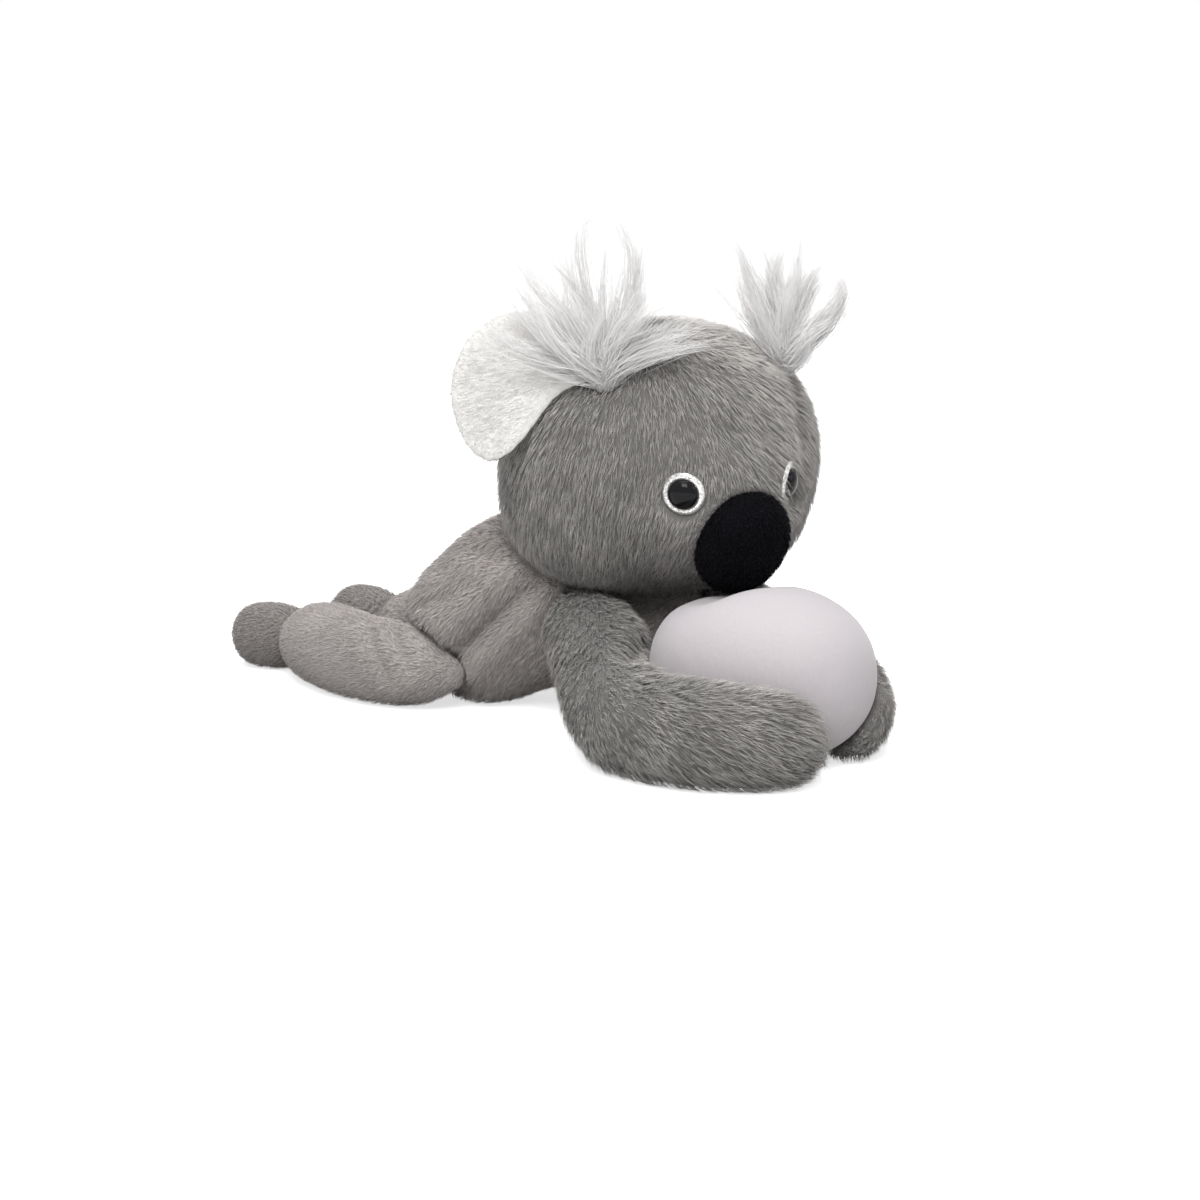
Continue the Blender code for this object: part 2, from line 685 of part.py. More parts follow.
def make_eye(body, side, colours):
    """A ring on the seat, the pupil with its shank through ring and skin, and the washer inside."""
    frame = eye_frame(side)
    seat = FIT_GAP - EYE_SEAT_DEPTH
    top = seat + EYE_RING_THICKNESS
    ring = ((EYE_RING_BORE, seat), (EYE_RING_RADIUS, seat), (EYE_RING_RADIUS, seat + EYE_RING_THICKNESS / 2),
            (EYE_RING_BORE, top))
    body.add(turned(side + "_eye_ring", ring, frame, ring=True), colours["glitter"])
    rim = top + FIT_GAP
    shank_end = rim - SHANK_LENGTH
    profile = [(0, shank_end), (SHANK_RADIUS, shank_end), (SHANK_RADIUS, rim), (PUPIL_RADIUS, rim)]
    for step in range(PUPIL_STEPS):
        rise = math.pi / 2 * step / PUPIL_STEPS
        profile.append((PUPIL_RADIUS * math.cos(rise), rim + PUPIL_RIM + PUPIL_BULGE * math.sin(rise)))
    profile.append((0, rim + PUPIL_RIM + PUPIL_BULGE))
    body.add(turned(side + "_eye_pupil", profile, frame), colours["pupil"])
    inner = SHANK_RADIUS + FIT_GAP
    high = -EYE_SEAT_DEPTH - FABRIC - FIT_GAP
    low = high - WASHER_THICKNESS
    washer = ((inner, low), (WASHER_RADIUS, low), (WASHER_RADIUS, high), (inner, high))
    body.add(turned(side + "_eye_washer", washer, frame, ring=True), colours["washer"])


def ear_outline(around, points):
    """A point of the ear's rounded outline, at a share of the way round it."""
    place = around * len(points)
    index = int(place)
    near = [points[(index + k) % len(points)] for k in (-1, 0, 1, 2)]
    return curve_point(near, place - index)


def ear_panel(name, side, face):
    """One stuffed panel of the ear: flat where it meets the other, domed on its own face, and cupped."""
    points = [Vector((along * EAR_LENGTH, up * EAR_HEIGHT)) for along, up in EAR_OUTLINE_SHARES]
    middle = Vector((EAR_CENTRE_SHARES[0] * EAR_LENGTH, EAR_CENTRE_SHARES[1] * EAR_HEIGHT))
    mesh = bmesh.new()
    bmesh.ops.create_uvsphere(mesh, u_segments=2 * len(points), v_segments=EAR_RINGS, radius=1)
    for vertex in mesh.verts:
        around = math.atan2(vertex.co.y, vertex.co.x) / math.tau % 1
        out = math.hypot(vertex.co.x, vertex.co.y)
        flat = middle + (ear_outline(around, points) - middle) * out
        cup = EAR_CUP * flat.length_squared / EAR_LENGTH ** 2
        rise = max(vertex.co.z, 0) * EAR_PANEL
        vertex.co = (flat.x, flat.y, cup + face * (rise + FIT_GAP / 2))
    mesh.transform(ear_frame(side))
    bmesh.ops.recalc_face_normals(mesh, faces=mesh.faces)
    return make_object(name, mesh)


def tuft_locks(side):
    """The locks of a tuft, in a fan that leans in over the brow and out over the ear."""
    root = ear_root(side)
    sign = SIGNS[side]
    across = Vector((-sign * math.cos(TUFT_TURN), -math.sin(TUFT_TURN), 0))
    backward = Vector((-sign * math.sin(TUFT_TURN), math.cos(TUFT_TURN), 0))
    fan = Matrix((across, UPRIGHT, backward)).transposed()
    locks = []
    for shares in TUFT_FAN_SHARES:
        tip = Vector(shares) * TUFT_RISE
        bend = Vector([length * share for length, share in zip(tip, TUFT_BEND_SHARES)])
        start = bend * TUFT_ROOT_SHARE
        stations = ((start, TUFT_LOCK_RADIUS), (bend, TUFT_LOCK_RADIUS), (tip, TUFT_TIP_RADIUS))
        locks.append(Limb([(root + fan @ place, radius) for place, radius in stations]))
    return locks


def tuft_solid(side, name, inset):
    """The gathered knot with its locks joined on."""
    tuft = ball(name, ear_root(side), TUFT_KNOT - inset, KNOT_SEGMENTS)
    for lock in tuft_locks(side):
        join(tuft, lock.solid("lock", inset, LOCK_DETAIL))
    return tuft


def make_ear(body, side, colours):
    """Both panels, clear of the gathered knot and of the head wherever the ear swings."""
    axis = ear_frame(side).col[1].to_3d()
    for name, face, colour in (("_ear_front", 1, "white_fur"), ("_ear_back", -1, "fur")):
        panel = ear_panel(side + name, side, face)
        root = ear_root(side)
        turns = [SIGNS[side] * angle for angle in EAR_RANGE]
        reach = swept(HEAD.solid("head", -EAR_CLEARANCE, LINING_SPLIT_STEPS), root, axis, turns)
        body.add(cut(panel, [tuft_solid(side, "tuft", -FIT_GAP), reach]), colours[colour])


def make_tuft(body, side, colours):
    """Tapered locks that rise in a fan from the knot, joined to it at their roots."""
    body.add(tuft_solid(side, side + "_ear_tuft", 0), colours["tuft"])


def make_cushion(body, colours):
    """The cushion's cover has its closing slot behind, low down, where it faces the chest."""
    frame = Matrix.Translation((*CUSHION_PLACE, CUSHION_SLOT_LIFT)) @ Matrix.Rotation(CUSHION_TURN, 4, "Z")
    slot = block("slot", (CUSHION_SLOT_LENGTH, CUSHION_LENGTH, CUSHION_SLOT_WIDTH),
                 frame @ Matrix.Translation((0, CUSHION_LENGTH / 2, 0)))
    sewn(body, ("cushion_cover", "cushion_fill"), cushion_solid, PAD_SPLIT_STEPS, [slot],
         (colours["cushion"], colours["wadding"]))


def make_arm(body, side, colours):
    opening = ARMS[side].opening(TORSO.points[1])
    names = (side + "_arm_skin", side + "_arm_fill")
    sewn(body, names, lambda *given: arm_solid(side, *given), LINING_DETAIL, [opening],
         (colours["fur"], colours["wadding"]))


def make_leg(body, side, colours):
    opening = LEGS[side].opening(TORSO.points[2])
    names = (side + "_leg_skin", side + "_leg_fill")
    sewn(body, names, lambda *given: leg_solid(side, *given), LINING_DETAIL, [opening],
         (colours["warm_fur"], colours["wadding"]))


def make_foot(body, side, colours):
    opening = FEET[side].opening(LEGS[side].points[-1])
    names = (side + "_foot_skin", side + "_foot_fill")
    sewn(body, names, lambda *given: foot_solid(side, *given), FOOT_LINING_DETAIL, [opening],
         (colours["foot_fur"], colours["wadding"]))


def stand_on_middle(root):
    """Move the whole toy so that the middle of its footprint, on the floor, is the origin."""
    bpy.context.view_layer.update()
    corners = []
    for piece in bpy.data.objects:
        if piece.type == "MESH":
            corners += [piece.matrix_world @ vertex.co for vertex in piece.data.vertices]
    lows = [min(corner[axis] for corner in corners) for axis in range(3)]
    highs = [max(corner[axis] for corner in corners) for axis in range(3)]
    root.empty.location = (-(lows[0] + highs[0]) / 2, -(lows[1] + highs[1]) / 2, -lows[2])


def main():
    for piece in list(bpy.data.objects):
        bpy.data.objects.remove(piece)
    colours = {
        "fur": paint("grey_fur", (0.21, 0.21, 0.19), 0.9),
        "warm_fur": paint("warm_grey_fur", (0.26, 0.25, 0.23), 0.9),
        "foot_fur": paint("dark_grey_fur", (0.17, 0.165, 0.15), 0.9),
        "white_fur": paint("white_fur", (0.84, 0.83, 0.79), 0.9),
        "tuft": paint("long_white_hair", (0.82, 0.79, 0.77), 0.8),
        "black_cloth": paint("black_fleece", (0.012, 0.012, 0.014), 0.95),
        "pupil": paint("black_gloss_plastic", (0.005, 0.005, 0.006), 0.08),
        "glitter": paint("silver_glitter", (0.72, 0.72, 0.74), 0.35, 0.8),
        "washer": paint("natural_plastic", (0.75, 0.75, 0.72), 0.5),
        "cushion": paint("white_plush", (0.76, 0.71, 0.74), 0.9),
        "wadding": paint("polyester_wadding", (0.85, 0.85, 0.83), 0.95),
    }
    torso = Body("torso", ORIGIN)
    make_torso(torso, colours)
    make_cushion(torso, colours)
    head = Body("head", NECK, torso)
    make_head(head, colours)
    make_nose(head, colours)
    for side in SIGNS:
        make_eye(head, side, colours)
        ear = Body(side + "_ear", ear_root(side), head)
        make_ear(ear, side, colours)
        make_tuft(ear, side, colours)
        make_arm(Body(side + "_arm", ARMS[side].points[0], torso), side, colours)
        leg = Body(side + "_leg", LEGS[side].points[0], torso)
        make_leg(leg, side, colours)
        make_foot(Body(side + "_foot", FEET[side].points[0], leg), side, colours)
    stand_on_middle(torso)


main()
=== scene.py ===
import json
import logging
import math
from dataclasses import dataclass, field
from enum import StrEnum
from typing import Callable, Sequence

import bmesh
import bpy
import numpy as np
from mathutils import Matrix, Vector
from mathutils.bvhtree import BVHTree
from mathutils.kdtree import KDTree


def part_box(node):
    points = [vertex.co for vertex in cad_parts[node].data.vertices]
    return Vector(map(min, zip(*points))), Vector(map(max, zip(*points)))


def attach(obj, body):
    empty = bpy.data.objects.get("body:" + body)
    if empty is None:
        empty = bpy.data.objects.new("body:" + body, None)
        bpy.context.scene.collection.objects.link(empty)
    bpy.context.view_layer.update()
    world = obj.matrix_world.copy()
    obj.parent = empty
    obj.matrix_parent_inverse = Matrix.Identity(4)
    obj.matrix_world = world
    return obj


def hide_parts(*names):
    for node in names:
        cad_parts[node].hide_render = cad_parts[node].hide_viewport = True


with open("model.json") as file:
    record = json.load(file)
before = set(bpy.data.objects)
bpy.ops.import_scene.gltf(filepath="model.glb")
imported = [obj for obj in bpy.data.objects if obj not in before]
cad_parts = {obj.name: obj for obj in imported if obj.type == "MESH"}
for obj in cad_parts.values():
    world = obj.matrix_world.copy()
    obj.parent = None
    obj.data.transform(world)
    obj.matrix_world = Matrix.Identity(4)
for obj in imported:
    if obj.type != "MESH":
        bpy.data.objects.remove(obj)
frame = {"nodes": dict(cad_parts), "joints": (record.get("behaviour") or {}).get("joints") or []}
LOG = logging.getLogger("koala")

Colour = tuple[float, float, float]
Place = tuple[float, float, float]
Tenths = tuple[int, int, int]
Pair = tuple[float, float]
Rows = np.ndarray
Comb = Callable[[Rows], Rows]
Draw = np.random.Generator
Piece = bpy.types.Object
Socket = bpy.types.NodeSocket
Number = Socket | float

STRAND_MAP = "strand"
WELD = 0.00001
FLOOR_CLEARANCE = 0.0002
MOST_FACES = 190_000

# Folds, routes and locks are in whole tenths of a millimetre, this many to the metre
TENTHS = 10_000

# A Mix node's sockets: its factor and two colours, and their mixture
MIX_INPUTS = (0, 6, 7)
MIX_OUTPUT = 2

# Smooth random values, the slope of an upright strand, the cloth's swelling, round pieces
DRIFT_WAVES = 9
DRIFT_GAIN = 2.4
STEEP = 0.9
SMOOTHING = 0.5
CLOTH_QUALITY = 4
SWELL_FRAMES = 20
SPIN_STEPS = 64

# The flat seat of an eye, with the width of its soft rim as a share of the radius
EYE_SEAT_RADIUS = 0.0104
EYE_SEAT_DEPTH = 0.0012
EYE_SEAT_RIM = 0.35


class Side(StrEnum):
    """Which of two like parts, by the koala's hand."""

    RIGHT = "right"
    LEFT = "left"


# How deep each eye is sunk, and how far around it the fur stays away
EYE_SINK = {Side.RIGHT: 0.0, Side.LEFT: 0.0017}
EYE_BARE = {Side.RIGHT: 0.0101, Side.LEFT: 0.007}


@dataclass
class Graph:
    """A material or a world, and the nodes that feed its shader."""

    holder: bpy.types.ID

    def __post_init__(self) -> None:
        """Find the shader that Blender gives a new material or world."""
        self.holder.use_nodes = True
        self.tree = self.holder.node_tree
        self.shader = self.tree.nodes.get("Principled BSDF") or self.tree.nodes["Background"]

    def node(self, kind: str, settings: dict | None = None, inputs: dict | None = None) -> bpy.types.Node:
        """Add any node.

        Args:
            kind: The node's type name.
            settings: Its own settings by name.
            inputs: Values or links by socket name or number.

        Returns:
            The new node.
        """
        made = self.tree.nodes.new(kind)
        for name, value in (settings or {}).items():
            setattr(made, name, value)
        self.feed(made, inputs or {})
        return made

    def feed(self, node: bpy.types.Node, inputs: dict) -> None:
        """Set or link a node's sockets.

        Args:
            node: The node.
            inputs: Values or links by socket name or number.
        """
        for name, value in inputs.items():
            if isinstance(value, Socket):
                self.tree.links.new(value, node.inputs[name])
            else:
                node.inputs[name].default_value = value

    def calc(self, operation: str, *numbers: Number) -> Socket:
        """The result of a Math node."""
        return self.node("ShaderNodeMath", {"operation": operation}, dict(enumerate(numbers))).outputs[0]

    def noise(self, scale: float, detail: float = 4.0, rise: float = 1.0) -> Socket:
        """Cloudy values from 0 to 1.

        Args:
            scale: How many clouds there are to the metre.
            detail: How many finer layers are added.
            rise: The same along Z, as a share; below 1 it makes upright streaks.

        Returns:
            The cloudy value.
        """
        stretch = {"Vector": self.node("ShaderNodeTexCoord").outputs["Object"], "Scale": (1, 1, rise)}
        drawn = self.node("ShaderNodeMapping", inputs=stretch).outputs[0]
        inputs = {"Vector": drawn, "Scale": scale, "Detail": detail}
        return self.node("ShaderNodeTexNoise", inputs=inputs).outputs["Fac"]

    def mix(self, factor: Number, first: object, second: object) -> Socket:
        """Mix two colours.

        Args:
            factor: The share of the second.
            first: A colour or a colour socket.
            second: A colour or a colour socket.

        Returns:
            The mixed colour.
        """
        colours = [item if isinstance(item, Socket) else (*item, 1) for item in (first, second)]
        inputs = dict(zip(MIX_INPUTS, (factor, *colours)))
        return self.node("ShaderNodeMix", {"data_type": "RGBA"}, inputs).outputs[MIX_OUTPUT]

    def bump(self, height: Socket, depth: float, strength: float = 1.0) -> Socket:
        """A normal from heights of 0 to 1, where 1 is so many metres deep."""
        inputs = {"Height": height, "Distance": depth, "Strength": strength}
        return self.node("ShaderNodeBump", inputs=inputs).outputs[0]

    def seen(self) -> Socket:
        """1 for light that goes straight to the camera or by a mirror, and else 0."""
        rays = self.node("ShaderNodeLightPath").outputs
        return self.calc("ADD", rays["Is Camera Ray"], rays["Is Glossy Ray"])


@dataclass
class Finish:
    """What a material looks like."""

    name: str
    slot: str
    roughness: float

    def make(self) -> bpy.types.Material:
        """Find the material, or make it the first time.

        Returns:
            The material.
        """
        found = bpy.data.materials.get(self.name)
        if found:
            return found
        graph = Graph(bpy.data.materials.new(self.name))
        graph.feed(graph.shader, {"Roughness": self.roughness})
        self.paint(graph)
        return graph.holder

    def paint(self, graph: Graph) -> None:
        """Add this finish's own nodes."""
        raise NotImplementedError


@dataclass
class Hair(Finish):
    """Strands that are darker at the root and differ a little from one to the next."""

    root: Colour
    tip: Colour
    spread: float
    sheen: float = 0.25
    gloss: float = 0.25
    ramp: float = 1.2

    def paint(self, graph: Graph) -> None:
        """Colour each strand along its length, and shade it by its own tone.

        Args:
            graph: The material.
        """
        chart = graph.node("ShaderNodeUVMap", {"uv_map": STRAND_MAP}).outputs[0]
        tone, along, _ = graph.node("ShaderNodeSeparateXYZ", inputs={0: chart}).outputs
        colour = graph.mix(graph.calc("POWER", along, self.ramp), self.root, self.tip)
        value = graph.calc("MULTIPLY_ADD", tone, self.spread, 1 - self.spread / 2)
        shaded = graph.node("ShaderNodeHueSaturation", inputs={"Value": value, "Color": colour})
        graph.feed(graph.shader, {
            "Base Color": shaded.outputs[0],
            "Sheen Weight": self.sheen,
            "Specular IOR Level": self.gloss,
        })


@dataclass
class Cloth(Finish):
    """The knitted ground of a pile, or a short napped cloth."""

    low: Colour
    high: Colour
    cloud: float = 60.0
    grain: float = 1400.0
    depth: float = 0.0006
    sheen: float = 0.3
    gloss: float = 0.3
    rise: float = 1.0
    detail: float = 3.0
    blend: float = 0.5

    def paint(self, graph: Graph) -> None:
        """Cloud the colour, speckle it finely and raise the grain.

        Args:
            graph: The material.
        """
        grain = graph.noise(self.grain, self.detail, self.rise)
        both = graph.calc("ADD", graph.noise(self.cloud), grain)
        graph.feed(graph.shader, {
            "Base Color": graph.mix(graph.calc("MULTIPLY", both, self.blend), self.low, self.high),
            "Normal": graph.bump(grain, self.depth),
            "Sheen Weight": self.sheen,
            "Specular IOR Level": self.gloss,
        })


@dataclass
class Gloss(Finish):
    """Polished plastic under lacquer, with faint dust."""

    colour: Colour = (0.005, 0.005, 0.006)
    speckle: float = 900.0
    dulling: float = 0.05
    gloss: float = 0.14

    def paint(self, graph: Graph) -> None:
        """Dust the colour, and let the gloss vary with it.

        Args:
            graph: The material.
        """
        dust = graph.noise(self.speckle)
        graph.feed(graph.shader, {
            "Base Color": graph.mix(dust, self.colour, [value * 2 for value in self.colour]),
            "Roughness": graph.calc("MULTIPLY_ADD", dust, self.dulling, self.roughness),
            "Specular IOR Level": self.gloss,
        })


@dataclass
class Glitter(Finish):
    """Flakes of silver that each lean their own way."""

    flake: float = 1700.0
    dark: Colour = (0.38, 0.37, 0.36)
    bright: Colour = (1.0, 0.99, 0.97)
    metal: float = 0.5
    metal_spread: float = 0.4
    depth: float = 0.0004
    relief: float = 0.8

    def paint(self, graph: Graph) -> None:
        """Give each flake its own brightness and tilt.

        Args:
            graph: The material.
        """
        inputs = {"Vector": graph.node("ShaderNodeTexCoord").outputs["Object"], "Scale": self.flake}
        flakes = graph.node("ShaderNodeTexVoronoi", {"feature": "F1"}, inputs)
        tone, *_ = graph.node("ShaderNodeSeparateXYZ", inputs={0: flakes.outputs["Color"]}).outputs
        graph.feed(graph.shader, {
            "Base Color": graph.mix(tone, self.dark, self.bright),
            "Metallic": graph.calc("MULTIPLY_ADD", tone, self.metal_spread, self.metal),
            "Normal": graph.bump(tone, self.depth, self.relief),
        })


HEAD_HAIR = Hair("head_hair", "grey_fur", 0.65, (0.3, 0.29, 0.277), (0.84, 0.805, 0.775), 0.9)
# The arms' fur is the head's grey fur written darker: painted shade on the arms
ARM_HAIR = Hair("arm_hair", "grey_fur", 0.65, (0.22, 0.213, 0.2), (0.74, 0.71, 0.68), 0.9)
BODY_HAIR = Hair("body_hair", "warm_grey_fur", 0.7, (0.42, 0.388, 0.372), (0.8, 0.742, 0.715), 0.5)
FOOT_HAIR = Hair("foot_hair", "dark_grey_fur", 0.7, (0.24, 0.22, 0.212), (0.56, 0.515, 0.495), 0.45)
EAR_HAIR = Hair("ear_hair", "white_fur", 0.6, (0.97, 0.95, 0.93), (0.99, 0.98, 0.965), 0.05, 0.4)
TUFT_HAIR = Hair("tuft_hair", "long_white_hair", 0.5, (0.97, 0.95, 0.945), (0.995, 0.985, 0.98), 0.05, 0.8)
# The nose's nap has tips lighter than its roots and a wide spread of tone: partly the fleece's own nap,
# partly painted highlights in place of a sheen
NOSE_HAIR = Hair("nose_hair", "black_fleece", 1.0, (0.002, 0.0019, 0.0026), (0.026, 0.0245, 0.031),
                 spread=2.0, sheen=0.0, gloss=0.04)
# Each pile's knitted ground is real, but written darker than its hair as painted shade deep in the pile
HEAD_GROUND = Cloth("head_ground", "grey_fur", 0.95, (0.13, 0.125, 0.12), (0.26, 0.25, 0.24))
BODY_GROUND = Cloth("body_ground", "warm_grey_fur", 0.95, (0.3, 0.28, 0.27), (0.46, 0.43, 0.415))
FOOT_GROUND = Cloth("foot_ground", "dark_grey_fur", 0.95, (0.2, 0.185, 0.175), (0.34, 0.315, 0.3))
EAR_GROUND = Cloth("ear_ground", "white_fur", 0.95, (0.9, 0.88, 0.85), (0.96, 0.945, 0.92))
FLEECE = Cloth("nose_fleece", "black_fleece", 1.0, (0.0025, 0.0024, 0.0032), (0.008, 0.0076, 0.01),
               cloud=90.0, grain=1100.0, sheen=0.0, gloss=0.04)
PLUSH = Cloth("cushion_plush", "white_plush", 0.95, (0.53, 0.497, 0.516), (0.61, 0.572, 0.594),
              cloud=30.0, grain=900.0, depth=0.0003, rise=0.12)
WASHER = Cloth("washer_plastic", "natural_plastic", 0.5, (0.68, 0.68, 0.65), (0.76, 0.76, 0.73),
               cloud=120.0, grain=3000.0, depth=0.0001)
PUPIL = Gloss("pupil_gloss", "black_gloss_plastic", 0.04)
SPARKLE = Glitter("ring_glitter", "silver_glitter", 0.28)


def add_object(name: str, data: bpy.types.ID) -> Piece:
    """Add an object with this mesh, camera or lamp to the scene."""
    bpy.context.scene.collection.objects.link(made := bpy.data.objects.new(name, data))
    return made


def make_piece(name: str, mesh: bmesh.types.BMesh) -> Piece:
    """Turn a bmesh into an object of the scene.

    Args:
        name: The piece's name.
        mesh: Its shape, which is used up.

    Returns:
        The piece, smooth shaded.
    """
    data = bpy.data.meshes.new(name)
    mesh.to_mesh(data)
    mesh.free()
    data.shade_smooth()
    return add_object(name, data)


def dress(piece: Piece, finish: Finish, body: str, nodes: Sequence[str] = ()) -> None:
    """Give a piece its finish and its place in the part.

    Args:
        piece: The piece.
        finish: What it looks like.
        body: The body that it rides on.
        nodes: The nodes that it stands for.
    """
    piece.data.materials.clear()
    piece.data.materials.append(finish.make())
    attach(piece, body)
    if nodes:
        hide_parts(*nodes)


def settle(piece: Piece) -> None:
    """Keep a piece's shape as its modifiers leave it, and take them off.

    Args:
        piece: The piece.
    """
    bpy.context.view_layer.update()
    shaped = piece.evaluated_get(bpy.context.evaluated_depsgraph_get())
    piece.data = bpy.data.meshes.new_from_object(shaped)
    piece.modifiers.clear()
    piece.data.name = piece.name


def rows_of(items: bpy.types.bpy_prop_collection, name: str) -> Rows:
    """A vector of each of a mesh's vertices or normals, a row each."""
    items.foreach_get(name, rows := np.zeros(len(items) * 3, np.float32))
    return rows.reshape(-1, 3).astype(float)


def points_of(piece: Piece) -> Rows:
    """The places of a mesh's vertices, a row each."""
    return rows_of(piece.data.vertices, "co")


def normals_of(piece: Piece) -> Rows:
    """The directions of a mesh's vertices, a row each."""
    return rows_of(piece.data.vertex_normals, "vector")


def put_points(piece: Piece, places: Rows) -> None:
    """Move a mesh's vertices to new places."""
    piece.data.vertices.foreach_set("co", places.astype(np.float32).ravel())
    piece.data.update()


def unit(rows: Rows) -> Rows:
    """Each row at length 1."""
    return rows / np.maximum(np.linalg.norm(rows, axis=1, keepdims=True), WELD)


def ramp(values: Rows, start: float, width: float) -> Rows:
    """From 0 at the start to 1 a width further on, and level on both sides."""
    return np.clip((values - start) / width, 0, 1)


def drift(places: Rows, reach: float, seed: int) -> Rows:
    """Smooth random values over space.

    Args:
        places: Where they are wanted, a row each.
        reach: About how far apart two unlike values are.
        seed: Which set of values.

    Returns:
        A value from about -1 to 1 for each place.
    """
    draw = np.random.default_rng(seed)
    waves = draw.normal(size=(DRIFT_WAVES, 3)) / reach
    phases = draw.uniform(0, math.tau, DRIFT_WAVES)
    return np.sin(places @ waves.T + phases).mean(axis=1) * DRIFT_GAIN


def flatten(places: Rows, seat: Matrix, radius: float, depth: float) -> Rows:
    """Press places down to a round flat seat, with a soft rim.

    Args:
        places: The places, a row each.
        seat: The seat's frame, with Z out of the form.
        radius: The seat's radius.
        depth: How far below the frame it lies.

    Returns:
        The moved places.
    """
    inward = np.array(seat.inverted())
    local = places @ inward[:3, :3].T + inward[:3, 3]
    away = np.hypot(local[:, 0], local[:, 1]) / radius
    share = ramp(away, 1 + EYE_SEAT_RIM, -EYE_SEAT_RIM)
    sink = np.maximum(local[:, 2] + depth, 0) * share
    return places - sink[:, None] * np.array(seat.col[2].to_3d())


@dataclass
class Crease:
    """A fold in a stuffed skin, along a line of places on it."""

    places: tuple[Tenths, ...]
    width: float
    depth: float
    lip: float = 0.35
    lip_reach: float = 2.2

    def press(self, piece: Piece) -> None:
        """Push the mesh in along the line, and swell it a little on both sides.

        Args:
            piece: The stuffed form.
        """
        points = points_of(piece)
        nearest = np.full(len(points), np.inf)
        line = np.array(self.places) / TENTHS
        for start, end in zip(line, line[1:]):
            span = end - start
            share = np.clip((points - start) @ span / (span @ span), 0, 1)
            nearest = np.minimum(nearest, np.linalg.norm(points - start - share[:, None] * span, axis=1))
        across = nearest / self.width
        sink = np.exp(-across ** 2) - self.lip * np.exp(-((across - self.lip_reach) ** 2))
        put_points(piece, points - normals_of(piece) * (sink * self.depth)[:, None])


@dataclass
class Taper:
    """A limb's end, drawn in where it is sewn on."""

    place: Tenths
    inward: Tenths
    reach: float
    share: float

    def press(self, piece: Piece) -> None:
        """Draw the end of the limb in towards its own middle line.

        Args:
            piece: The stuffed form.
        """
        points = points_of(piece)
        run = unit(np.array([self.inward]) / TENTHS)[0]
        away = points - np.array(self.place) / TENTHS
        along = away @ run
        side = away - along[:, None] * run
        near = np.clip(1 - along / self.reach, 0, 1) ** 2
        put_points(piece, points - side * (self.share * near)[:, None])


@dataclass
class SoftForm:
    """A stuffed piece, blown up from the solids of its skin and its filling."""

    name: str
    body: str
    nodes: tuple[str, ...]
    finish: Finish
    voxel: float = 0.0042
    relax: int = 6
    swell: float = 0.0006
    cap: float = 0.002
    fill: float = 0.7
    pressure: float = 4.0
    creases: tuple[Crease | Taper, ...] = ()
    seats: tuple[Matrix, ...] = ()
    piece: Piece = field(init=False)
    tree: BVHTree = field(init=False)

    def wrap(self) -> None:
        """Wrap the solids in one even mesh, or round a thin one if there is no voxel size."""
        mesh = bmesh.new()
        for node in self.nodes:
            mesh.from_mesh(frame["nodes"][node].data)
        bmesh.ops.remove_doubles(mesh, verts=mesh.verts, dist=WELD)
        self.piece = make_piece(self.name, mesh)
        wrapped = self.piece.modifiers.new("wrap", "REMESH" if self.voxel else "SUBSURF")
        if self.voxel:
            wrapped.mode = "VOXEL"
            wrapped.voxel_size = self.voxel
        settle(self.piece)
        mesh = bmesh.new()
        mesh.from_mesh(self.piece.data)
        for _ in range(self.relax):
            bmesh.ops.smooth_vert(mesh, verts=mesh.verts, factor=SMOOTHING, use_axis_x=True, use_axis_y=True,
                                  use_axis_z=True)
        bmesh.ops.recalc_face_normals(mesh, faces=mesh.faces)
        mesh.to_mesh(self.piece.data)
        mesh.free()
        put_points(self.piece, points_of(self.piece) + normals_of(self.piece) * self.swell)

    def start_swelling(self) -> None:
        """Give the form a cloth that pressure swells."""
        cloth = self.piece.modifiers.new("swell", "CLOTH")
        cloth.settings.quality = CLOTH_QUALITY
        cloth.settings.use_pressure = True
        cloth.settings.uniform_pressure_force = self.pressure
        cloth.settings.effector_weights.gravity = 0
        cloth.collision_settings.use_collision = False
        cloth.point_cache.frame_end = SWELL_FRAMES

    def stop_swelling(self) -> None:
        """Keep the swollen shape, no further from the wrapped one than the cap."""
        rest = points_of(self.piece)
        settle(self.piece)
        moved = points_of(self.piece) - rest
        length = np.linalg.norm(moved, axis=1, keepdims=True)
        put_points(self.piece, rest + moved * np.minimum(1, self.cap / np.maximum(length, WELD)))

    def finish_off(self) -> None:
        """Subdivide, crease, set on the floor, dress and hand over to the part's body."""
        rounded = self.piece.modifiers.new("round", "SUBSURF")
        rounded.levels = rounded.render_levels = 1
        settle(self.piece)
        for crease in self.creases:
            crease.press(self.piece)
        places = points_of(self.piece)
        for seat in self.seats:
            places = flatten(places, seat, EYE_SEAT_RADIUS, EYE_SEAT_DEPTH)
        places[:, 2] = np.maximum(places[:, 2], FLOOR_CLEARANCE)
        put_points(self.piece, places)
        self.piece.data.shade_smooth()
        dress(self.piece, self.finish, self.body, self.nodes)
        self.tree = BVHTree.FromObject(self.piece, bpy.context.evaluated_depsgraph_get())
        LOG.info("%s: %d faces", self.name, len(self.piece.data.polygons))


